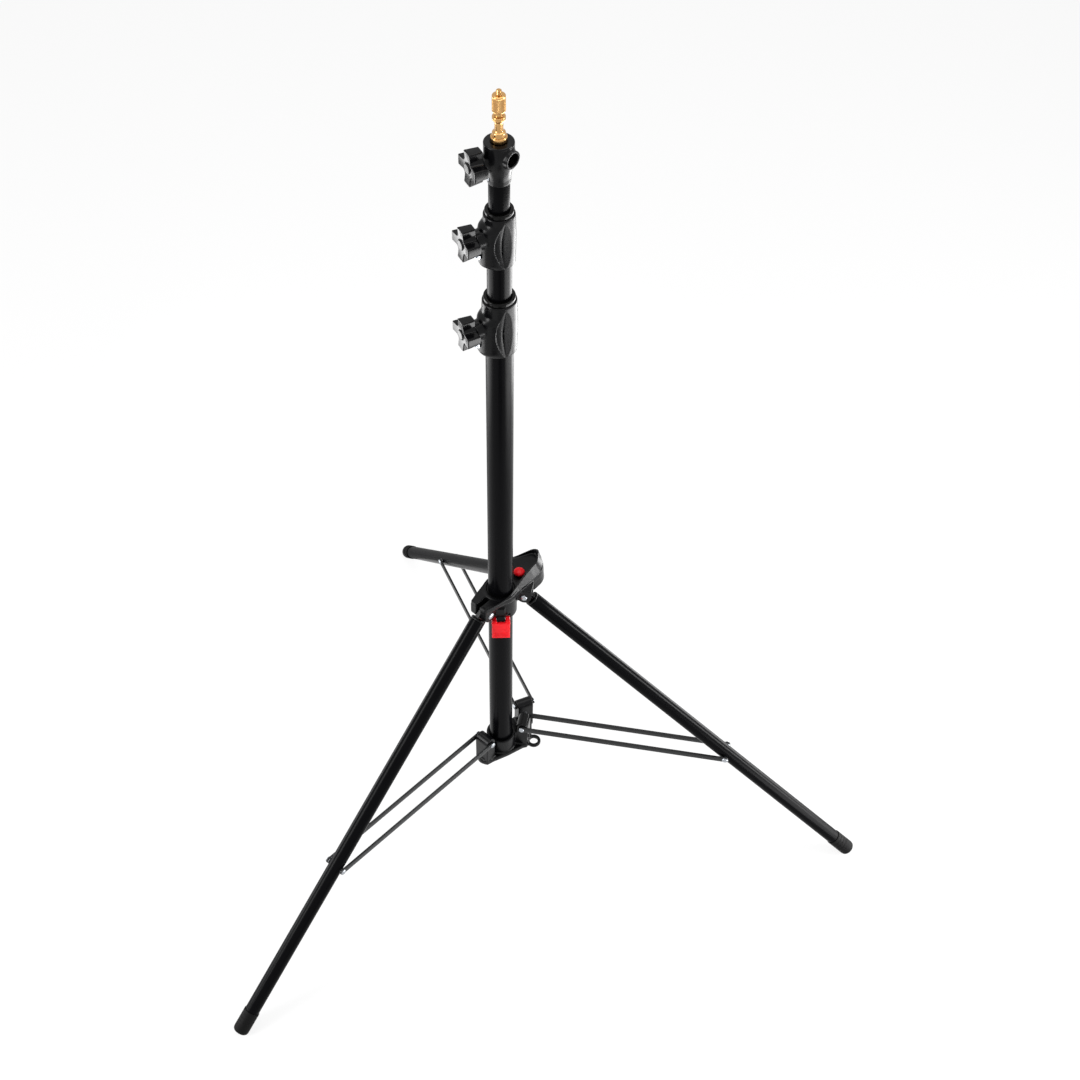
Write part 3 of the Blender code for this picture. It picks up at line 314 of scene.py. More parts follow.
def skin(field, low, high, step):
    """Closed skin of the solid where a distance field is negative. The field is sampled on a cubic
    grid. Each cell that the skin crosses gets the mean of the crossings on its edges, and each
    crossed grid edge joins its four cells in a quad."""
    counts = np.ceil((np.array(high) - low) / step).astype(int) + 1
    axes = [start + step * np.arange(count) for start, count in zip(low, counts)]
    value = field(*np.meshgrid(*axes, indexing="ij", sparse=True))
    value = np.ascontiguousarray(np.broadcast_to(value, counts))
    total = np.zeros((*(counts - 1), 3))
    hits = np.zeros(counts - 1)
    edges = []
    for axis in range(3):
        others = [other for other in range(3) if other != axis]
        start = np.delete(value, -1, axis)
        end = np.delete(value, 0, axis)
        crossed = (start < 0) != (end < 0)
        share = np.where(crossed, start / np.where(crossed, start - end, 1), 0)
        edges.append((axis, others, crossed, start < 0))
        for first in (0, 1):
            for second in (0, 1):
                cells = [slice(None)] * 3
                cells[others[0]] = slice(first, first + counts[others[0]] - 1)
                cells[others[1]] = slice(second, second + counts[others[1]] - 1)
                here = crossed[tuple(cells)]
                hits += here
                total[..., axis] += share[tuple(cells)]
                total[..., others[0]] += here * first
                total[..., others[1]] += here * second
    active = hits > 0
    number = np.full(hits.shape, -1)
    number[active] = np.arange(active.sum())
    points = np.array(low) + step * (np.argwhere(active) + total[active] / hits[active][:, None])
    faces = []
    for axis, others, crossed, inside in edges:
        spots = np.argwhere(crossed)
        flip = inside[crossed] != (axis == 1)
        corners = []
        for first, second in ((1, 1), (0, 1), (0, 0), (1, 0)):
            cell = spots.copy()
            cell[:, others[0]] -= first
            cell[:, others[1]] -= second
            corners.append(number[tuple(cell.T)])
        quad = np.stack(corners, -1)
        faces.append(np.where(flip[:, None], quad, quad[:, ::-1]))
    return points, np.concatenate(faces)


def casting(name, field, box, step, place, body, slot, node):
    """Object from a distance field in millimetres in a local frame, with fillets in all its corners."""
    points, faces = skin(field, box[0], box[1], step)
    mesh = bpy.data.meshes.new(name)
    mesh.from_pydata(put(points * MM, place).tolist(), [], faces.tolist())
    mesh.validate()
    dress(name, mesh, body, slot, node)


def length(size, name, description):
    """Property for a length, with its default in millimetres."""
    return FloatProperty(name=name, description=description, default=size * MM, unit="LENGTH")


def angle(degrees, name, description):
    """Property for an angle, with its default in degrees."""
    return FloatProperty(name=name, description=description, default=np.radians(degrees), subtype="ANGLE")


def power(watts, name, description):
    """Property for the power of a light."""
    return FloatProperty(name=name, description=description, default=watts, subtype="POWER")


def colour(code, name, description):
    """Property for a colour, with its default as an sRGB hex value."""
    return FloatVectorProperty(name=name, description=description, default=srgb(code), size=3, min=0, max=1,
                               subtype="COLOR")


class StandSizes(bpy.types.PropertyGroup):
    """Sizes of the dressed stand that a user would change."""

    leg_tilt: angle(46.5, "Leg tilt", "Angle of the open legs from the column")
    tube_edge: length(0.4, "Tube edge", "Rounding of the tubes' cut ends")
    stay_edge: length(0.7, "Stay edge", "Rounding of the stays' edges")
    casting_step: length(0.7, "Casting step", "Grid step of the large castings' skins")
    fillet: length(3.0, "Fillet", "Width of the fillets in the hubs")
    knurl_teeth: IntProperty(name="Knurl teeth", description="Teeth round the thread adapter", default=40)
    thread_pitch: length(1.27, "Thread pitch", "Pitch of the adapter's stud")
    foot_groove: length(0.35, "Foot groove", "Depth of the grooves round the feet")


class StandColours(bpy.types.PropertyGroup):
    """Colours of the stand's finishes."""

    anodised: colour("#030304", "Tubes", "Black anodised tubes")
    casting: colour("#040405", "Castings", "Black coated castings")
    knob: colour("#040405", "Knobs", "Black moulded knobs")
    acetal: colour("#040404", "Bushes", "Black bearing plastic")
    zinc: colour("#b4b8bd", "Zinc", "Zinc plated steel")
    brass: colour("#cda873", "Brass", "Turned brass")
    red: colour("#e60d1a", "Red", "Red nylon of the lever and button")
    stay: colour("#0b0c0d", "Stays", "Dark coated flat bars")
    rubber: colour("#060606", "Rubber", "Black rubber feet")


class StandStage(bpy.types.PropertyGroup):
    """Camera, lights and floor of the picture."""

    camera_place: FloatVectorProperty(name="Camera place", description="Where the camera stands",
                                      default=(1.0884, -1.1619, 2.4073), subtype="XYZ", unit="LENGTH")
    camera_azimuth: angle(133.13, "Camera azimuth", "Level direction that it looks in")
    camera_pitch: angle(47.5, "Camera pitch", "How far it looks down")
    camera_roll: angle(-0.2, "Camera roll", "How far it leans")
    camera_lens: FloatProperty(name="Lens", description="Focal length in mm on a 36 mm frame", default=57.9)
    camera_shift: FloatVectorProperty(name="Shift", description="Lens shift across and up", size=2,
                                      default=(0.0368, -0.0179))
    key_power: power(60, "Key power", "Power of the tall softbox on the left")
    fill_power: power(45, "Fill power", "Power of the softbox on the right")
    top_power: power(36, "Top power", "Power of the softbox overhead")
    low_power: power(15, "Low power", "Power of the softboxes near the floor")
    floor: colour("#f4f4f4", "Floor", "Pale studio floor")


def add_node(tree, kind, inputs=None, **settings):
    """Adds a node, sets its properties, and fills its inputs with values or other nodes' outputs."""
    made = tree.nodes.new(kind)
    for key, value in settings.items():
        setattr(made, key, value)
    for key, value in (inputs or {}).items():
        if isinstance(value, bpy.types.NodeSocket):
            tree.links.new(value, made.inputs[key])
        else:
            made.inputs[key].default_value = value
    return made


def empty_tree(owner):
    """Node tree of a material or world, with nothing in it."""
    owner.use_nodes = True
    owner.node_tree.nodes.clear()
    return owner.node_tree


def start_material(name, **values):
    """Material with one shader, whose own sockets hold the values that are the same all over."""
    material = bpy.data.materials.new(name)
    tree = empty_tree(material)
    shader = add_node(tree, "ShaderNodeBsdfPrincipled",
                      {key.replace("_", " "): value for key, value in values.items()})
    add_node(tree, "ShaderNodeOutputMaterial", {"Surface": shader.outputs["BSDF"]})
    return material, tree, shader


def shade(tone, share, lift=0.0):
    """Colour times a share, with the same lift on each part."""
    return tuple(part * share + lift for part in tone)


def vary(tree, shader, pattern, base, other, rough, relief, depth):
    """Lets one pattern move a finish between two colours and two roughnesses, and another give it a
    relief of a depth in metres."""
    tint = add_node(tree, "ShaderNodeMix", {0: pattern, 6: (*base, 1), 7: (*other, 1)}, data_type="RGBA")
    dull = add_node(tree, "ShaderNodeMapRange", {"Value": pattern, "From Min": 0.3, "From Max": 0.7,
                                                 "To Min": rough[0], "To Max": rough[1]})
    bump = add_node(tree, "ShaderNodeBump", {"Height": relief, "Strength": 1.0, "Distance": depth})
    tree.links.new(tint.outputs[2], shader.inputs["Base Color"])
    tree.links.new(dull.outputs[0], shader.inputs["Roughness"])
    tree.links.new(bump.outputs[0], shader.inputs["Normal"])


def mottled(name, base, other, rough, patches, grain, depth, **values):
    """Finish with patches that move its colour and roughness, and a finer grain that gives its relief.
    Both are noises in the part's own axes."""
    material, tree, shader = start_material(name, Metallic=0.0, **values)
    spot = add_node(tree, "ShaderNodeTexCoord").outputs["Object"]
    coarse, fine = (add_node(tree, "ShaderNodeTexNoise", {"Vector": spot, **noise}).outputs["Fac"]
                    for noise in (patches, grain))
    vary(tree, shader, coarse, base, other, rough, fine, depth)
    return material


def anodised_tube(colours):
    """Drawn aluminium tube, black anodised: satin, with die lines along it and a bloom in the dye."""
    material, tree, shader = start_material("Black anodised aluminium", Metallic=0.0, IOR=1.5,
                                            Specular_IOR_Level=0.04)
    spot = add_node(tree, "ShaderNodeTexCoord").outputs
    # Die lines 0.3 mm wide and 90 mm long, drawn 0.9 mm wide so that they show
    lines = add_node(tree, "ShaderNodeMapping", {"Vector": spot["UV"], "Scale": (1100, 11, 1)})
    drawn = add_node(tree, "ShaderNodeTexNoise", {"Vector": lines.outputs[0], "Scale": 1.0, "Detail": 3.0})
    # Bloom in the dye, some 40 mm across
    bloom = add_node(tree, "ShaderNodeTexNoise", {"Vector": spot["Object"], "Scale": 25.0, "Detail": 4.0})
    both = add_node(tree, "ShaderNodeMix", {0: 0.5, 2: drawn.outputs["Fac"], 3: bloom.outputs["Fac"]})
    vary(tree, shader, both.outputs[0], colours.anodised, shade(colours.anodised, 1.8, 0.0006),
         (0.2, 0.27), drawn.outputs["Fac"], 1e-6)
    return material


def coated_casting(colours):
    """Die-cast aluminium with a black coat: satin sheen, fine orange peel and rubbed spots."""
    # Rubbed spots about 14 mm across over orange peel of about 0.9 mm
    return mottled("Black coated cast aluminium", colours.casting, shade(colours.casting, 2.0, 0.001),
                   (0.22, 0.32), {"Scale": 70.0, "Detail": 5.0, "Roughness": 0.6},
                   {"Scale": 1100.0, "Detail": 2.0}, 5e-6, IOR=1.5, Specular_IOR_Level=0.14)


def moulded_knob(colours):
    """Glass-filled nylon, moulded black: glossy faces with a faint flow pattern."""
    # Flow marks about 5 mm across over a spark-eroded grain of 0.5 mm
    return mottled("Black moulded nylon", colours.knob, shade(colours.knob, 1.7, 0.001), (0.14, 0.22),
                   {"Scale": 200.0, "Detail": 3.0, "Distortion": 1.0}, {"Scale": 2000.0, "Detail": 1.0},
                   2e-6, IOR=1.53, Specular_IOR_Level=0.14)


def bearing_plastic(colours):
    """Acetal, turned or moulded black: waxy and even."""
    # Waxy clouding about 8 mm across over a 0.7 mm grain
    return mottled("Black acetal", colours.acetal, shade(colours.acetal, 2.0, 0.001), (0.16, 0.26),
                   {"Scale": 125.0, "Detail": 2.0}, {"Scale": 1400.0, "Detail": 1.0}, 2e-6,
                   IOR=1.48, Specular_IOR_Level=0.12)


def red_nylon(colours):
    """Nylon, moulded red: glossy, with a fine grain and slight clouding."""
    # Clouding about 10 mm across over a spark-eroded grain of 0.6 mm
    return mottled("Red moulded nylon", colours.red, shade(colours.red, 0.8), (0.2, 0.3),
                   {"Scale": 100.0, "Detail": 3.0}, {"Scale": 1700.0, "Detail": 1.0}, 1.5e-6,
                   IOR=1.53, Specular_IOR_Level=0.14)


def coated_steel(colours):
    """Flat steel bar with a dark grey coat: satin, a little rubbed where it folds past the legs."""
    # Rubbed streaks about 9 mm across over a coat grain of 0.8 mm
    return mottled("Dark coated steel", colours.stay, shade(colours.stay, 2.0, 0.003), (0.24, 0.36),
                   {"Scale": 110.0, "Detail": 5.0, "Roughness": 0.65}, {"Scale": 1250.0, "Detail": 1.0},
                   4e-6, IOR=1.5, Specular_IOR_Level=0.25)


def moulded_rubber(colours):
    """Black rubber, moulded: dull, with a fine pitted grain and dusty patches."""
    # Dust patches about 12 mm across over pits of 1 mm
    return mottled("Black rubber", colours.rubber, shade(colours.rubber, 1.8, 0.001), (0.5, 0.68),
                   {"Scale": 80.0, "Detail": 5.0}, {"Scale": 1000.0, "Detail": 2.0}, 3e-5,
                   IOR=1.52, Specular_IOR_Level=0.08)


def zinc_plate(colours):
    """Zinc plated steel: bright, a little clouded, with a fine crystal grain."""
    material, tree, shader = start_material("Zinc plated steel", Metallic=1.0)
    spot = add_node(tree, "ShaderNodeTexCoord").outputs["Object"]
    # Clouds about 4 mm across over crystals of 0.8 mm
    cloud = add_node(tree, "ShaderNodeTexNoise", {"Vector": spot, "Scale": 260.0, "Detail": 3.0})
    grain = add_node(tree, "ShaderNodeTexVoronoi", {"Vector": spot, "Scale": 1250.0})
    vary(tree, shader, cloud.outputs["Fac"], colours.zinc, shade(colours.zinc, 0.72), (0.2, 0.38),
         grain.outputs["Distance"], 8e-6)
    return material


def turned_brass(colours):
    """Bar brass, turned on a lathe: bright, with rings from the tool and a warm tarnish in places."""
    material, tree, shader = start_material("Turned brass", Metallic=1.0)
    spot = add_node(tree, "ShaderNodeTexCoord").outputs["Object"]
    # Tarnish about 6 mm across
    tarnish = add_node(tree, "ShaderNodeTexNoise", {"Vector": spot, "Scale": 160.0, "Detail": 4.0})
    # Tool rings 0.15 mm apart, drawn 1 mm apart so that they show
    rings = add_node(tree, "ShaderNodeTexWave", {"Vector": spot, "Scale": 320.0, "Distortion": 0.6,
                                                 "Detail": 2.0}, bands_direction="Z")
    warm = tuple(part * share for part, share in zip(colours.brass, (0.8, 0.62, 0.42)))
    vary(tree, shader, tarnish.outputs["Fac"], colours.brass, warm, (0.12, 0.22), rings.outputs["Fac"], 6e-6)
    return material


FINISHES = {
    "anodised": anodised_tube, "cast": coated_casting, "knob": moulded_knob, "plastic": bearing_plastic,
    "zinc": zinc_plate, "brass": turned_brass, "red": red_nylon, "stay": coated_steel,
    "rubber": moulded_rubber,
}
made_finishes = {}


def finish(slot):
    """Material of a slot of the record, made on first use."""
    if slot not in made_finishes:
        made_finishes[slot] = FINISHES[slot](bpy.context.scene.stand_colours)
    return made_finishes[slot]


def domed_pin(radius, head, dome, low, high):
    """Profile of a pin with a domed head at each end, from low to high along its axis."""
    turn = np.linspace(0, np.pi / 2, 7)
    first = np.stack([head * np.sin(turn), low - dome * np.cos(turn)], -1)
    last = np.stack([head * np.cos(turn), high + dome * np.sin(turn)], -1)
    return np.concatenate([first, [(radius, low), (radius, high)], last])


class STAND_OT_tubes(bpy.types.Operator):
    """Column and leg tubes: rounded rectangles turned about each tube's axis"""

    bl_idname = "stand.tubes"
    bl_label = "Tubes"

    def execute(self, context):
        sizes = context.scene.stand_sizes
        wall = 1.5 * MM
        leg_start, leg_end = 16 * MM, 723.7 * MM
        bodies = {"base_column": "base", "riser_tube_1": "riser_1", "riser_tube_2": "riser_2"}
        for node, body in bodies.items():
            low, high = node_span(node)
            radius = node_span(node, 0)[1]
            tube = pipe(radius, radius - wall, low, high, sizes.tube_edge)
            piece(f"{node}_drawn", [tube], body, "anodised", node, ring=True)
        radius = node_span("leg_tube_front", 0)[1]
        tube = pipe(radius, radius - wall, leg_start, leg_end, sizes.tube_edge, 72)
        for leg in LEGS:
            piece(f"leg_tube_{leg}_drawn", [put(tube, leg_frame(leg, sizes.leg_tilt))], f"leg_{leg}",
                  "anodised", f"leg_tube_{leg}", ring=True)
        return {"FINISHED"}


class STAND_OT_feet(bpy.types.Operator):
    """Rubber feet: a round-ended cap with grooves, turned about the leg and worn flat on the floor"""

    bl_idname = "stand.feet"
    bl_label = "Rubber feet"

    def execute(self, context):
        sizes = context.scene.stand_sizes
        end, radius = 732 * MM, 12 * MM
        seat, seat_end, lip = 11.3 * MM, end - 8 * MM, end - 38 * MM
        soft, round_end = 0.3 * MM, 6 * MM
        deep = radius - sizes.foot_groove
        outer = [(0, seat_end), (seat, seat_end), (seat, lip), (radius, lip)]
        for groove in end - np.array([33, 27, 21]) * MM:
            outer += [(radius, groove), (deep, groove + 0.6 * MM), (deep, groove + 1.4 * MM),
                      (radius, groove + 2 * MM)]
        rows = [(*corner, soft) for corner in outer] + [(radius, end, round_end), (0, end, 0)]
        foot = turned(rounded(rows, 5), 64)
        for leg in LEGS:
            grid = put(foot, leg_frame(leg, sizes.leg_tilt))
            grid[..., 2] = np.maximum(grid[..., 2], 0)
            piece(f"rubber_foot_{leg}", [grid], f"leg_{leg}", "rubber", f"leg_foot_{leg}", 60)
        return {"FINISHED"}


class STAND_OT_leg_fittings(bpy.types.Operator):
    """Leg fittings: a tongue with a round end in the hub's fork, on a shoulder over the tube's end"""

    bl_idname = "stand.leg_fittings"
    bl_label = "Leg fittings"

    def execute(self, context):
        tilt = context.scene.stand_sizes.leg_tilt
        tongue_radius, tongue_half, tongue_end = 8.5, 3.5, 15

        def field(x, y, z):
            """Tongue: an arch between flat faces. Shoulder and plug: round bars at its straight end."""
            faces = np.maximum(np.abs(y) - tongue_half, z - tongue_end)
            tongue = smooth_max(arch(x, z, tongue_radius), faces, 1.2)
            across = np.hypot(x, y)
            shoulder = bar(across, z, 11, 13, 15.7, 0.8)
            plug = bar(across, z, 9.2, 14, 24, 0.5)
            return np.minimum(smooth_min(tongue, shoulder, 2.0), plug)

        for leg in LEGS:
            casting(f"leg_fitting_{leg}_cast", field, ((-13, -13, -10), (13, 13, 26)), FINE_STEP,
                    leg_frame(leg, tilt), f"leg_{leg}", "cast", f"leg_fitting_{leg}")
        return {"FINISHED"}


class STAND_OT_stays(bpy.types.Operator):
    """Stays: flat bars with round ends and soft edges, and domed rivets turned about their pins"""

    bl_idname = "stand.stays"
    bl_label = "Stays and rivets"

    def execute(self, context):
        edge = context.scene.stand_sizes.stay_edge
        inner, outer, radius = 12.8 * MM, 16 * MM, 4.75 * MM
        shank, head = 2.5 * MM, 4.6 * MM
        start, reach = inner - 0.6 * MM, outer + GAP * MM
        pin = turned(domed_pin(shank, head, 2 * MM, -reach, reach), 32)
        for leg in LEGS:
            place, span = stay_frame(leg)
            plate = slab(*stadium(span, radius), inner, outer, edge)
            rivet = turned(domed_pin(shank, head, 1.7 * MM, start, reach), 32) + [span, 0, 0]
            for side, sign in (("a", 1), ("b", -1)):
                mirror = np.array([1, 1, sign])
                piece(f"stay_{leg}_{side}_bar", [put(plate * mirror, place)], f"stays_{leg}", "stay",
                      f"stay_{leg}_{side}")
                piece(f"stay_rivet_{leg}_{side}_domed", [put(rivet * mirror, place)], f"stays_{leg}", "zinc",
                      f"stay_rivet_{leg}_{side}")
            piece(f"stay_pin_{leg}_domed", [put(pin, place)], "base", "zinc", f"stay_pin_{leg}")
        return {"FINISHED"}


class STAND_OT_upper_hub(bpy.types.Operator):
    """Sliding hub: deck, raised rim, skirt, sleeve and three forks in one casting, with domed pins"""

    bl_idname = "stand.upper_hub"
    bl_label = "Upper hub"

    def execute(self, context):
        sizes = context.scene.stand_sizes
        fillet = sizes.fillet / MM
        pivot = JOINTS["leg_fold_front"]["pos_m"]
        left = np.array(JOINTS["leg_fold_left"]["pos_m"]) / MM
        lever = np.array(JOINTS["lever_open"]["pos_m"]) / MM
        front = pivot[1] / MM
        reach = np.hypot(lever[0], lever[1])
        lever_out = lever[:2] / reach
        lever_drop = lever[2] - pivot[2] / MM
        discs = [(0, 0, 24.5), (left[0], left[1], 27), (-1.5, 75, 10), (-11.8, front - 8, 3),
                 (11.8, front - 8, 3)]
        deck_low, deck_top, bend = 11, 20, 19.5
        skirt_low, skirt_top = -5, 13
        sleeve_radius, sleeve_low, sleeve_top, bore = 23.5, -25, 19, 19.9
        fork_radius, fork_top, slot_half, slot_start = 11, 15, 3.8, -9.5
        lug_half, knuckle_radius = 6, 4.5

        def plate(x, y, z):
            """Deck, raised rim and skirt: a band round discs, cut straight on its far side."""
            plan = smooth_max(band(x, y, discs), 0.445 * y - 0.895 * x - 47.5, 3)
            crest = deck_top + 13 * smooth_step(y, -26, 60) * np.clip((x + 26) / 27, 0, 1)
            # Share of the lean, which fades out towards the front fork
            draft = smooth_step(x, -12, 14) * smooth_step(y, -34, 16)

            def lean(level):
                """How far the outer wall leans in at a level, with a steeper lean above the bend."""
                below, above = np.maximum(level - skirt_low, 0), np.maximum(level - bend, 0)
                return draft * (0.08 * below + 0.55 * above)

            wall = plan + lean(z)
            deck = smooth_max(wall, np.maximum(deck_low - z, z - deck_top), 1.0)
            rim = smooth_max(smooth_max(wall, z - crest, 1.0), -plan - (2.2 + lean(crest)), 1.2)
            rim = smooth_max(rim, np.maximum(14 - z, np.minimum(1 - x, 40 - y)), 1.5)
            skirt = np.maximum(skirt_low - z, z - skirt_top)
            skirt = smooth_max(smooth_max(wall, -plan - 9, 1.0), skirt, 1.6)
            skirt = smooth_max(skirt, np.maximum(2 - x, 44 - y), 2.0)
            return smooth_min(smooth_min(deck, rim, 1.6), skirt, 1.5)

        def lever_lug(radial, side, z):
            """Upright lug with a round knuckle on the lever's pin."""
            height = z - lever_drop
            faces = np.abs(side) - lug_half
            knuckle = smooth_max(np.hypot(radial - reach, height) - knuckle_radius, faces, 0.8)
            stem = smooth_max(np.abs(radial - reach + 1.75) - 2.75, np.maximum(faces, -height), 0.8)
            return np.minimum(knuckle, np.maximum(stem, z - 2))

        def field(x, y, z):
            """Plate, sleeve, a fork for each leg and the lever's lug, less the forks' slots and the bore."""
            across = np.hypot(x, y)
            radial, side = turn_to(lever_out, x, y)
            window = smooth_max(np.abs(side) - 13.4, np.maximum(z + 14, -radial), 1.0)
            sleeve = smooth_max(bar(across, z, sleeve_radius, sleeve_low, sleeve_top, 1.5), -window, 0.8)
            solid = smooth_min(plate(x, y, z), sleeve, fillet)
            for leg in LEGS:
                out, beside = along_leg(leg, "leg", x, y)
                faces = np.maximum(np.abs(beside) - FORK_HALF[leg], z - fork_top)
                fork = smooth_max(arch(out, z, fork_radius), faces, 1.6)
                solid = smooth_min(solid, fork, 0.3 if leg == "front" else fillet)
                if leg == "front":
                    neck = np.maximum(np.maximum(out, -20 - out), z - 16)
                    neck = smooth_max(np.maximum(np.abs(beside) - 13.5, skirt_low - z), neck, 1.5)
                    solid = smooth_min(solid, neck, 0.6)
            solid = smooth_min(solid, lever_lug(radial, side, z), 1.0)
            for leg in LEGS:
                out, beside = along_leg(leg, "leg", x, y)
                lid = 99 if leg == "front" else deck_low
                slot = np.maximum(np.maximum(np.abs(beside) - slot_half, slot_start - out), z - lid)
                solid = smooth_max(solid, -slot, 0.9)
            return smooth_max(solid, bore - across, 1.0)

        casting("upper_hub_cast", field, ((-34, -50, -29), (38, 85, 36)), sizes.casting_step / MM,
                plain_frame(pivot[2]), "hub", "cast", "upper_hub")
        for leg in LEGS:
            cheek = FORK_HALF[leg] * MM + GAP * MM
            pin = turned(domed_pin(4 * MM, 5.2 * MM, 1.8 * MM, -cheek, cheek), 40)
            piece(f"leg_pin_{leg}_domed", [put(pin, pin_frame(f"leg_fold_{leg}"))], "hub", "zinc",
                  f"leg_pin_{leg}")
        half = 12.3 * MM
        pin = turned(domed_pin(2.2 * MM, 3.6 * MM, 1.0 * MM, -half, half), 32)
        piece("lever_pin_domed", [put(pin, pin_frame("lever_open"))], "hub", "zinc", "lever_pin")
        return {"FINISHED"}


class STAND_OT_red_parts(bpy.types.Operator):
    """Red cam lever with thumb ridges, and red push button with a dome"""

    bl_idname = "stand.red_parts"
    bl_label = "Lever and button"

    def execute(self, context):
        joint = JOINTS["lever_open"]
        out = unit([joint["pos_m"][0], joint["pos_m"][1], 0])
        half_width, half_length, plate_out, half_plate = 13, 16.5, 7.1, 2
        thumb_drop, cheek_radius, cheek_place, half_cheek = 25, 4.2, 9.7, 3.1

        def field(x, y, z):
            """Flat plate with cosine ridges, and two cheeks that narrow from the pin to the plate."""
            edges = np.maximum(np.abs(x) - half_width, np.abs(y + half_length) - half_length)
            plate = smooth_max(np.abs(z - plate_out) - half_plate, edges, 1.6)
            thumb = y + thumb_drop
            ridges = 0.3 * np.cos(thumb * np.pi) * (np.abs(thumb) < 4.5) * (np.abs(x) < 10) * (z > 7)
            reach = np.clip(z, 0, 6)
            cheek = np.hypot(y, z - reach) - cheek_radius + 0.25 * reach
            cheek = smooth_max(cheek, np.abs(np.abs(x) - cheek_place) - half_cheek, 0.8)
            return smooth_min(plate - ridges, cheek, 1.5)

        casting("cam_lever_moulded", field, ((-15, -36, -6), (15, 6, 12)), FINE_STEP,
                frame_at(joint["pos_m"], out, UP), "cam_lever", "red", "cam_lever")
        low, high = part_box("push_button")
        middle = [(low[0] + high[0]) / 2, (low[1] + high[1]) / 2, 0]
        stem, rim, skirt = 4.5 * MM, 8 * MM, high[2] - 6 * MM
        turn = np.linspace(0, np.pi / 2, 12)[:-1]
        dome = np.stack([rim * np.cos(turn), skirt + 2 * MM + 4 * MM * np.sin(turn)], -1)
        profile = [(0, low[2]), (stem, low[2]), (stem, skirt), (7.6 * MM, skirt), (rim, skirt + 0.5 * MM),
                   *dome, (0, high[2])]
        piece("push_button_moulded", [turned(profile, 64) + middle], "push_button", "red", "push_button")
        return {"FINISHED"}


class STAND_OT_lower_hub(bpy.types.Operator):
    """Lower hub: plate, ring round the tube, a post for each pair of stays and a strap eye"""

    bl_idname = "stand.lower_hub"
    bl_label = "Lower hub"

    def execute(self, context):
        sizes = context.scene.stand_sizes
        fillet = sizes.fillet / MM
        base = node_span("lower_hub")[0]
        pin = JOINTS["stay_fold_front"]["pos_m"][2] / MM - base / MM
        spots = [np.array(JOINTS[f"stay_fold_{leg}"]["pos_m"]) / MM for leg in LEGS]
        discs = [(0, 0, 25.5)] + [(spot[0], spot[1], 12.8) for spot in spots]
        plate_top, ring_radius, ring_top, bore, bore_floor = 8, 22.5, 36, 17.8, 3.7
        post_radius, post_half = 9, 12.5
        eye_out, eye_radius, eye_hole = 17, 11, 6.5

        def field(x, y, z):
            """Plate in a band round discs, a ring, an arched post for each pair of stays and an eye, less
            the tube's bore and the eye's hole."""
            across = np.hypot(x, y)
            solid = smooth_max(band(x, y, discs), np.maximum(-z, z - plate_top), 2.0)
            solid = smooth_min(solid, bar(across, z, ring_radius, 1, ring_top, 1.5), fillet)
            for leg in LEGS:
                out, side = along_leg(leg, "stay", x, y)
                faces = np.maximum(np.abs(side) - post_half, 1 - z)
                post = smooth_max(arch(out, pin - z, post_radius), faces, 1.6)
                solid = smooth_min(solid, post, fillet)
            out, side = along_leg("right", "stay", x, y)
            eye = np.hypot(out - eye_out, side)
            solid = smooth_min(solid, smooth_max(eye - eye_radius, np.abs(z - 4) - 3, 2.0), 1.5)
            hole = np.maximum(across - bore, bore_floor - z)
            return smooth_max(smooth_max(solid, -hole, 0.8), eye_hole - eye, 1.0)

        casting("lower_hub_cast", field, ((-34, -54, -4), (54, 76, 62)), sizes.casting_step / MM,
                plain_frame(base), "base", "cast", "lower_hub")
        return {"FINISHED"}


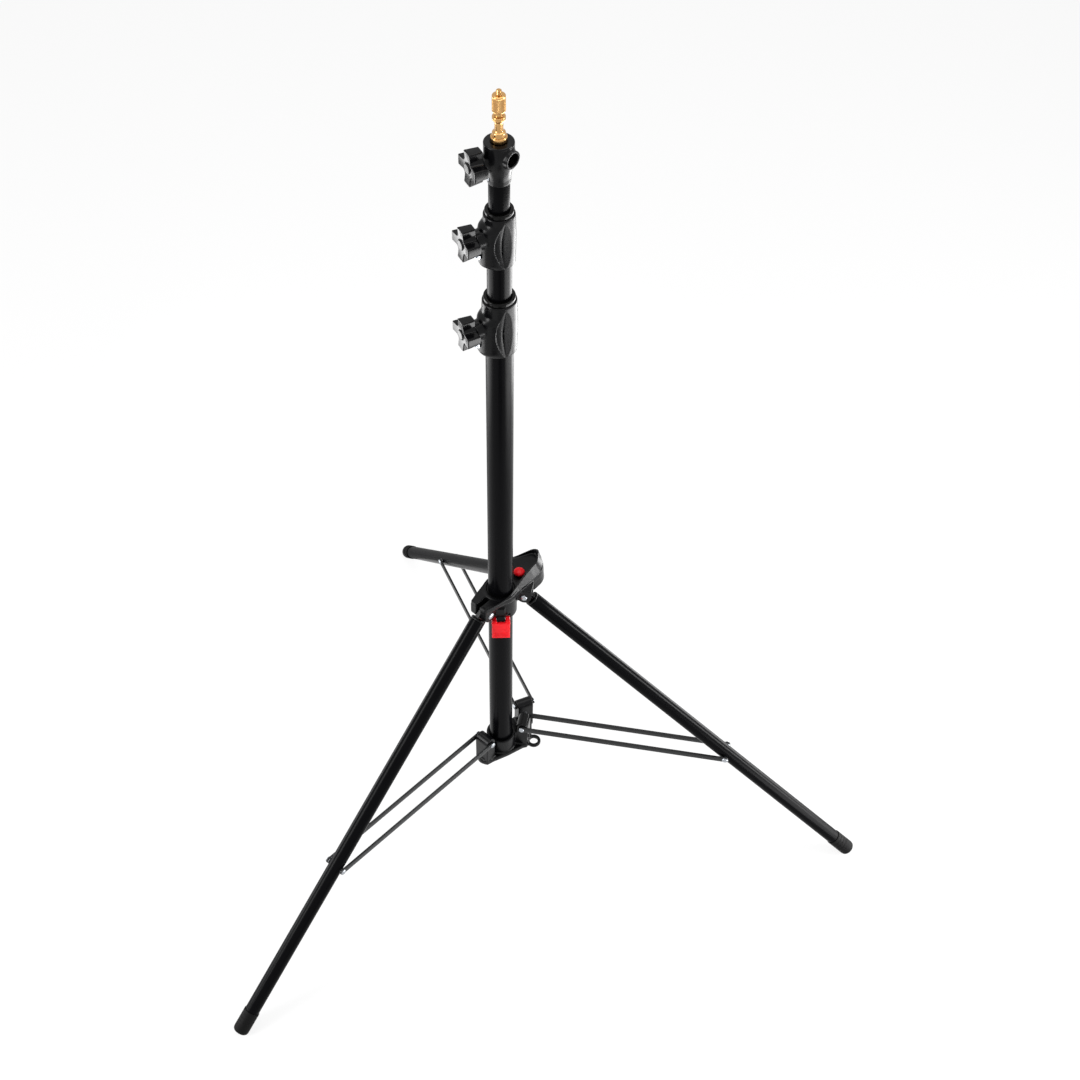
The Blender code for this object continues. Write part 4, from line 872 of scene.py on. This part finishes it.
class STAND_OT_collars(bpy.types.Operator):
    """Clamping collars: a barrel that swells to a clamp boss, with a dished panel, a bush and a nut"""

    bl_idname = "stand.collars"
    bl_label = "Collars"

    def execute(self, context):
        sizes = context.scene.stand_sizes
        facing = np.radians(-26)
        panel = np.cos(facing), np.sin(facing)
        for name, body, tube in (("lower", "base", "base_column"), ("middle", "riser_1", "riser_tube_1")):
            low, high = node_span(f"{name}_collar")
            height = (high - low) / MM
            bore = node_span(tube, 0)[1] / MM + GAP
            joint = JOINTS[f"{name}_knob_turn"]
            rise = (joint["pos_m"][2] - low) / MM
            knob = joint["axis"]
            wall, boss_end, boss_radius, lobe_out = bore + 3.5, bore + 17.2, 12.3, 9.5

            def field(x, y, z):
                """Barrel that swells by a sine, lobe and boss towards the knob, less panel and bore."""
                across = np.hypot(x, y)
                girth = wall + 0.9 * np.sin(np.clip(z / height, 0, 1) * np.pi)
                barrel = bar(across, z, girth, 0, height, 1.6)
                offset = np.hypot(x - knob[0] * lobe_out, y - knob[1] * lobe_out)
                lobe = bar(offset, z, wall - 2.2, 0.3, rise + 18, 8)
                radial, side = turn_to(knob, x, y)
                boss = bar(np.hypot(side, z - rise), radial, boss_radius, 2, boss_end, 1.0)
                solid = smooth_min(smooth_min(barrel, lobe, 4), boss, 1.6)
                # Panel: a flat dish, with a bow-shaped bevel on its near side and a slit behind that
                flat, wide = turn_to(panel, x, y)
                level = z - height * 0.47
                taper = np.clip(1 - (level / (height * 0.47)) ** 2, 0, 1)
                bow = wide + 12 * taper
                past = bow - 10 * taper
                slit = np.exp(-((past + 0.6) / 0.8) ** 2) * smooth_step(-np.abs(level), -18, -9)
                bevel = across - girth + np.where(bow < 0, 3, 0.3) * bow + 1.3 * slit
                plane = flat - girth + 2.3 * taper
                share = smooth_step(past, -0.5, 0.5)
                dish = np.where(flat < 4, -5, bevel * (1 - share) + plane * share)
                solid = smooth_max(solid, dish, 0.25)
                return smooth_max(solid, bore - across, 0.8)

            reach = boss_end + 3
            casting(f"{name}_collar_cast", field, ((-reach, -reach, -3), (reach, reach, height + 3)),
                    sizes.casting_step / MM, plain_frame(low), body, "cast", f"{name}_collar")

            bush_low, bush_high = node_span(f"{name}_bush")
            rim = node_span(f"{name}_bush", 0)[1]
            inner, seat, lip = rim - 4.3 * MM, bore * MM - GAP * MM, high + GAP * MM
            ring = rounded([(inner, bush_low, 0.2 * MM), (seat, bush_low, 0.2 * MM), (seat, lip, 0.2 * MM),
                            (rim, lip, 0.6 * MM), (rim, bush_high, 1.6 * MM), (inner, bush_high, 0.6 * MM)],
                           closed=True)
            piece(f"{name}_bush_ring", [turned(ring)], body, "plastic", f"{name}_bush", ring=True)

            # Hexagon: half its width across flats, over the cosine of the angle from the nearest flat
            turn = np.linspace(0, 2 * np.pi, 72, endpoint=False)
            across = 4.5 * MM / np.cos((turn + np.pi / 6) % (np.pi / 3) - np.pi / 6)
            hexagon = np.stack([across * np.cos(turn), across * np.sin(turn)], -1)
            nut = slab(hexagon, (0, 0), -2 * MM, 2 * MM, 0.5 * MM)
            stud = np.array([(0, 1, 0), (2.4, 1, 0.2), (2.4, 3.6, 0.5), (0, 3.6, 0)]) * MM
            place = frame_at(node_middle(f"{name}_clamp_nut"), knob, UP)
            piece(f"{name}_clamp_nut_hex", [put(nut, place), put(turned(rounded(stud), 24), place)], body,
                  "zinc", f"{name}_clamp_nut")
        return {"FINISHED"}


class STAND_OT_knobs(bpy.types.Operator):
    """Clamp knobs: four chunky lobes on a round core, with a raised cap over the bolt"""

    bl_idname = "stand.knobs"
    bl_label = "Clamp knobs"

    def execute(self, context):
        lobe_reach, lobe_half, core_radius, cap_radius = 20.9, 6.6, 11.4, 6.5
        top, cap_top, half_height = 16.2, 18, 9

        def field(x, y, z):
            """Four lobes, which are one in the larger and smaller of |x| and |y|, on a core with a cap."""
            far = np.maximum(np.abs(x), np.abs(y))
            near = np.minimum(np.abs(x), np.abs(y))
            across = np.hypot(x, y)
            flare = 0.06 * (z - half_height)
            end = np.hypot(far, near * 0.5) - lobe_reach - flare
            lobe = smooth_max(end, near - lobe_half - flare, 1.4)
            outline = smooth_min(lobe, across - core_radius, 2.5)
            dish = 0.0035 * (x ** 2 + y ** 2)
            solid = smooth_max(outline, np.maximum(-z, z - top - dish), 1.2)
            cap = smooth_max(across - cap_radius, np.maximum(10 - z, z - cap_top), 0.8)
            return smooth_min(solid, cap, 1.0)

        for knob in ("lower_knob", "middle_knob", "socket_knob"):
            axis = np.array(JOINTS[f"{knob}_turn"]["axis"])
            start = node_middle(knob) - axis * half_height * MM
            casting(f"{knob}_moulded", field, ((-24, -24, -3), (24, 24, 21)), FINE_STEP,
                    frame_at(start, axis, UP), knob, "knob", knob)
        return {"FINISHED"}


class STAND_OT_socket(bpy.types.Operator):
    """Top socket: a tapered head with an upright bore, a rimmed side bore and a clamp boss"""

    bl_idname = "stand.socket"
    bl_label = "Top socket"

    def execute(self, context):
        bottom, top = node_span("riser_tube_2")[1] + GAP * MM, node_span("top_socket")[1]
        height = (top - bottom) / MM
        joint = JOINTS["socket_knob_turn"]
        rise = (joint["pos_m"][2] - bottom) / MM
        knob = joint["axis"]
        head = node_span("top_socket", 1)[1] / MM
        neck, boss_radius, rim_radius = 13.6, 8.5, 11
        bore_radius, bore_depth, side_radius, side_drop = 8.3, 40, 8, 16

        def field(x, y, z):
            """Round head on a taper, a boss towards the knob and a rim along X, less two bores with flared
            mouths and a screw's hole."""
            across = np.hypot(x, y)
            taper = neck + (head - neck) * smooth_step(z, 6, height - 20)
            solid = bar(across, z, taper, 0, height, 1.8)
            radial, side = turn_to(knob, x, y)
            boss = bar(np.hypot(side, z - rise), radial, boss_radius, 2, head + 4.5, 1.2)
            from_eye = np.hypot(y, z - height + side_drop)
            rim = bar(from_eye, x, rim_radius, 2, head + 4, 1.0)
            solid = smooth_min(smooth_min(solid, boss, 4), rim, 3)
            solid = smooth_min(solid, bar(across, z, 10.7, -6, 4, 0.5), 0.3)
            bore = across - bore_radius - 0.9 * np.maximum(z - height + 2, 0)
            bore = smooth_max(bore, height - bore_depth - z, 0.5)
            side_bore = from_eye - side_radius - 0.6 * np.maximum(x - head - 2.8, 0)
            side_bore = np.maximum(side_bore, -x)
            solid = smooth_max(smooth_max(solid, -bore, 0.5), -side_bore, 0.6)
            screw = np.maximum(np.hypot(side, z - 8) - 2.9, 10 - radial)
            return smooth_max(solid, -screw, 0.4)

        reach = head + 7
        casting("top_socket_cast", field, ((-reach, -reach, -8), (reach, reach, height + 3)), FINE_STEP,
                plain_frame(bottom), "riser_2", "cast", "top_socket")
        screw = np.array([(0, -2.35, 0), (2.6, -2.35, 0.1), (2.6, 2.35, 0.7), (1.3, 2.35, 0.1),
                          (1.1, 0.95, 0.1), (0, 0.95, 0)]) * MM
        place = frame_at(node_middle("socket_screw"), knob, UP)
        piece("socket_screw_capped", [put(turned(rounded(screw), 32), place)], "riser_2", "zinc",
              "socket_screw")
        return {"FINISHED"}


class STAND_OT_brass(bpy.types.Operator):
    """Brass: a double-ended spigot and a knurled thread adapter, turned about the column's axis"""

    bl_idname = "stand.brass"
    bl_label = "Spigot and adapter"

    def execute(self, context):
        sizes = context.scene.stand_sizes
        low = node_span("spigot")[0] / MM
        # Radius, height and bend of each corner
        rows = np.array([
            (0, 0, 0), (5, 0, 0.6), (5, 2.8, 0.4), (7.7, 2.8, 1.0), (7.7, 8.2, 1.4), (5, 9.4, 2.2),
            (5, 28, 2.2), (7.7, 29.4, 0.6), (7.7, 30, 0.2), (9.6, 30, 1.2), (9.6, 36.5, 1.2),
            (7.7, 36.5, 0.3), (7.7, 42, 1.2), (5, 43.2, 2.0), (5, 56, 2.0), (7.7, 57.4, 1.2),
            (7.7, 62.5, 1.2), (4.8, 62.5, 0.3), (4.8, 67.5, 0.6), (2.6, 67.5, 0.3), (2.6, 62.5, 0.2),
            (0, 62.5, 0),
        ])
        spigot = turned(rounded(rows + [0, low, 0], 5) * MM, 72)
        piece("spigot_turned", [spigot], "spigot", "brass", "spigot")

        low = node_span("thread_adapter")[0] + 4 * MM
        barrel, stud, shoulder, stud_end, tip = 7.7, 3.2, 21, 26.4, 27
        profile = rounded([(0, -4, 0), (2.3, -4, 0.4), (2.3, 0, 0.1), (barrel, 0, 1.6),
                           (barrel, shoulder, 1.6), (stud, shoulder, 0.1)], 5)[:-1]
        wall = np.stack([np.full(24, barrel), np.linspace(1.8, 19.2, 24)], -1)
        middle = np.flatnonzero((profile[:, 0] > barrel - 0.01) & (profile[:, 1] < 10))[-1]
        profile = np.insert(profile, middle + 1, wall, 0)
        thread = np.stack([np.full(40, stud), np.linspace(shoulder, stud_end, 40)], -1)
        grid = turned(np.concatenate([profile, thread, [(2.4, tip), (0, tip)]]), 320)
        reach, height = np.hypot(grid[..., 0], grid[..., 1]), grid[..., 2]
        turn = np.arctan2(grid[..., 1], grid[..., 0]) / (2 * np.pi)
        tooth = np.abs((turn * sizes.knurl_teeth) % 1 - 0.5) * 2
        wave = np.abs((height / (sizes.thread_pitch / MM) - turn) % 1 - 0.5) * 2
        on_barrel = smooth_step(height, 1.4, 2.6) * smooth_step(-height, -19.6, -18.4)
        on_barrel = smooth_step(reach, 7.3, 7.6) * on_barrel
        on_stud = smooth_step(height, 21.6, 22.2) * (reach > 3.1) * (reach < 3.3)
        shrink = 1 - 0.045 * tooth * on_barrel - 0.13 * wave * on_stud
        grid[..., :2] *= shrink[..., None]
        piece("thread_adapter_knurled", [grid * MM + [0, 0, low]], "adapter", "brass", "thread_adapter", 30)
        return {"FINISHED"}


class STAND_OT_inner_pieces(bpy.types.Operator):
    """Finishes of the frame nodes that stay as they are"""

    bl_idname = "stand.inner_pieces"
    bl_label = "Inner pieces"

    def execute(self, context):
        slots = {entry["node"]: entry["material_slot"] for entry in frame["record"]["subparts"]}
        for name, obj in frame["nodes"].items():
            obj.data.materials.clear()
            obj.data.materials.append(finish(slots[name]))
        return {"FINISHED"}


# Each softbox: its power, where it stands, the height on the column that it faces, its width and height
SOFTBOXES = {
    "key_softbox": ("key_power", (-0.9, -2.3, 1.7), 0.75, (0.8, 1.9)),
    "fill_softbox": ("fill_power", (1.95, 1.45, 0.9), 0.6, (0.55, 0.9)),
    "top_softbox": ("top_power", (-0.2, 0.4, 3.3), 0.6, (2.2, 2.2)),
    "left_low_softbox": ("low_power", (-0.86, -0.6, 0.1), 1.1, (1.6, 0.55)),
    "back_low_softbox": ("low_power", (0.3, 1.05, 0.1), 1.1, (1.0, 0.5)),
    "right_low_softbox": ("low_power", (0.97, 0.42, 0.1), 1.1, (0.9, 0.5)),
}
# Each dark card: its corners over the floor, and its grey
FLAGS = {
    "black_flag": ([(0.45, -0.75), (0.8, -1.1), (1.15, -0.75), (0.8, -0.4)], 0.004),
    "grey_flag": ([(-1.3, 0.1), (-0.45, 0.1), (-0.45, 0.65), (-1.3, 0.65)], 0.25),
}


class STAND_OT_stage(bpy.types.Operator):
    """Pale floor, white surroundings, six softboxes, two dark cards for the reflections, and the camera"""

    bl_idname = "stand.stage"
    bl_label = "Stage"

    def execute(self, context):
        scene = context.scene
        stage = scene.stand_stage
        scene.view_settings.view_transform = "Standard"
        self.floor(scene, stage)
        self.surroundings(scene)
        for name, (source, place, facing, size) in SOFTBOXES.items():
            self.softbox(scene, name, getattr(stage, source), place, facing, size)
        for name, (corners, grey) in FLAGS.items():
            self.flag(scene, name, corners, grey)
        self.camera(scene, stage)
        return {"FINISHED"}

    def card(self, scene, name, corners, height, finish_name):
        """Flat card of the stage at a height, and the empty tree of its material."""
        mesh = bpy.data.meshes.new(name)
        mesh.from_pydata([(x, y, height) for x, y in corners], [], [(0, 1, 2, 3)])
        obj = bpy.data.objects.new(name, mesh)
        scene.collection.objects.link(obj)
        material = bpy.data.materials.new(finish_name)
        mesh.materials.append(material)
        return obj, empty_tree(material)

    def seen(self, tree):
        """1 for what the camera sees, also in a reflection or through glass, and 0 for other rays."""
        path = add_node(tree, "ShaderNodeLightPath").outputs
        either = add_node(tree, "ShaderNodeMath", {0: path["Is Camera Ray"], 1: path["Is Glossy Ray"]},
                          operation="MAXIMUM")
        return add_node(tree, "ShaderNodeMath", {0: either.outputs[0], 1: path["Is Transmission Ray"]},
                        operation="MAXIMUM").outputs[0]

    def floor(self, scene, stage):
        """Large sheet of paper that looks nearly white and keeps the stand's shadow."""
        half, drop = 90.0, 0.0005
        corners = [(-half, -half), (half, -half), (half, half), (-half, half)]
        _, tree = self.card(scene, "studio_floor", corners, -drop, "Pale studio paper")
        share = add_node(tree, "ShaderNodeMath", {0: self.seen(tree), 1: 0.82}, operation="MULTIPLY")
        paper = add_node(tree, "ShaderNodeBsdfDiffuse", {"Color": (*stage.floor, 1)})
        white = add_node(tree, "ShaderNodeEmission", {"Color": (1, 1, 1, 1), "Strength": 1.0})
        mix = add_node(tree, "ShaderNodeMixShader", {0: share.outputs[0], 1: paper.outputs[0],
                                                     2: white.outputs[0]})
        add_node(tree, "ShaderNodeOutputMaterial", {"Surface": mix.outputs[0]})

    def surroundings(self, scene):
        """White to the eye and in reflections, and half as strong as light."""
        world = bpy.data.worlds.new("Studio surroundings")
        scene.world = world
        tree = empty_tree(world)
        dim, white = (add_node(tree, "ShaderNodeBackground", {"Color": (1, 1, 1, 1), "Strength": strength})
                      for strength in (0.5, 1.0))
        mix = add_node(tree, "ShaderNodeMixShader", {0: self.seen(tree), 1: dim.outputs[0],
                                                     2: white.outputs[0]})
        add_node(tree, "ShaderNodeOutputWorld", {"Surface": mix.outputs[0]})

    def softbox(self, scene, name, watts, place, facing, size):
        """Area light that faces a height on the column and isn't seen by the camera."""
        light = bpy.data.lights.new(name, "AREA")
        light.energy = watts
        light.shape = "RECTANGLE"
        light.size, light.size_y = size
        obj = bpy.data.objects.new(name, light)
        scene.collection.objects.link(obj)
        obj.matrix_world = self.aim(place, np.array([0, 0, facing]) - place)
        obj.visible_camera = False

    def flag(self, scene, name, corners, grey):
        """Dark card just over the floor, seen only in reflections, where it gives a bar of shade."""
        height = 0.02
        obj, tree = self.card(scene, name, corners, height, f"Card of {name}")
        obj.visible_camera = obj.visible_diffuse = obj.visible_shadow = False
        paint = add_node(tree, "ShaderNodeBsdfDiffuse", {"Color": (grey, grey, grey, 1)})
        add_node(tree, "ShaderNodeOutputMaterial", {"Surface": paint.outputs[0]})

    def camera(self, scene, stage):
        """Camera at the photograph's place and angle."""
        data = bpy.data.cameras.new("studio_camera")
        data.sensor_width = 36
        data.lens = stage.camera_lens
        data.shift_x, data.shift_y = stage.camera_shift
        obj = bpy.data.objects.new("studio_camera", data)
        scene.collection.objects.link(obj)
        level = np.cos(stage.camera_pitch)
        look = np.array([level * np.cos(stage.camera_azimuth), level * np.sin(stage.camera_azimuth),
                         -np.sin(stage.camera_pitch)])
        obj.matrix_world = self.aim(stage.camera_place, look) @ Matrix.Rotation(stage.camera_roll, 4, "Z")
        scene.camera = obj

    def aim(self, place, look):
        """Matrix of an object at a place whose local -Z looks along a direction, with local Y up."""
        back = -unit(look)
        side = unit(np.cross(UP, back)) if abs(back[2]) < 0.999 else np.array([1.0, 0, 0])
        rows = np.eye(4)
        rows[:3, 0], rows[:3, 1], rows[:3, 2], rows[:3, 3] = side, np.cross(back, side), back, place
        return Matrix(rows.tolist())


class STAND_PT_sidebar(bpy.types.Panel):
    """Sizes, colours and pieces of the stand"""

    bl_label = "Light stand"
    bl_idname = "STAND_PT_sidebar"
    bl_space_type = "VIEW_3D"
    bl_region_type = "UI"
    bl_category = "Light stand"

    def draw(self, context):
        scene = context.scene
        for group in (scene.stand_sizes, scene.stand_colours, scene.stand_stage):
            box = self.layout.box()
            for name in group.__annotations__:
                box.prop(group, name)
        for operator in OPERATORS:
            self.layout.operator(operator.bl_idname)


OPERATORS = (
    STAND_OT_stage, STAND_OT_inner_pieces, STAND_OT_tubes, STAND_OT_feet, STAND_OT_leg_fittings,
    STAND_OT_stays, STAND_OT_upper_hub, STAND_OT_red_parts, STAND_OT_lower_hub, STAND_OT_collars,
    STAND_OT_knobs, STAND_OT_socket, STAND_OT_brass,
)
GROUPS = (("stand_sizes", StandSizes), ("stand_colours", StandColours), ("stand_stage", StandStage))


def register():
    for name, group in GROUPS:
        bpy.utils.register_class(group)
        setattr(bpy.types.Scene, name, PointerProperty(type=group))
    for cls in (*OPERATORS, STAND_PT_sidebar):
        bpy.utils.register_class(cls)


def unregister():
    for cls in (STAND_PT_sidebar, *reversed(OPERATORS)):
        bpy.utils.unregister_class(cls)
    for name, group in reversed(GROUPS):
        delattr(bpy.types.Scene, name)
        bpy.utils.unregister_class(group)


def main():
    """Registers the classes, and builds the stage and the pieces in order."""
    register()
    bpy.ops.stand.stage()
    bpy.ops.stand.inner_pieces()
    bpy.ops.stand.tubes()
    bpy.ops.stand.feet()
    bpy.ops.stand.leg_fittings()
    bpy.ops.stand.stays()
    bpy.ops.stand.upper_hub()
    bpy.ops.stand.red_parts()
    bpy.ops.stand.lower_hub()
    bpy.ops.stand.collars()
    bpy.ops.stand.knobs()
    bpy.ops.stand.socket()
    bpy.ops.stand.brass()


if __name__ == "__main__":
    main()
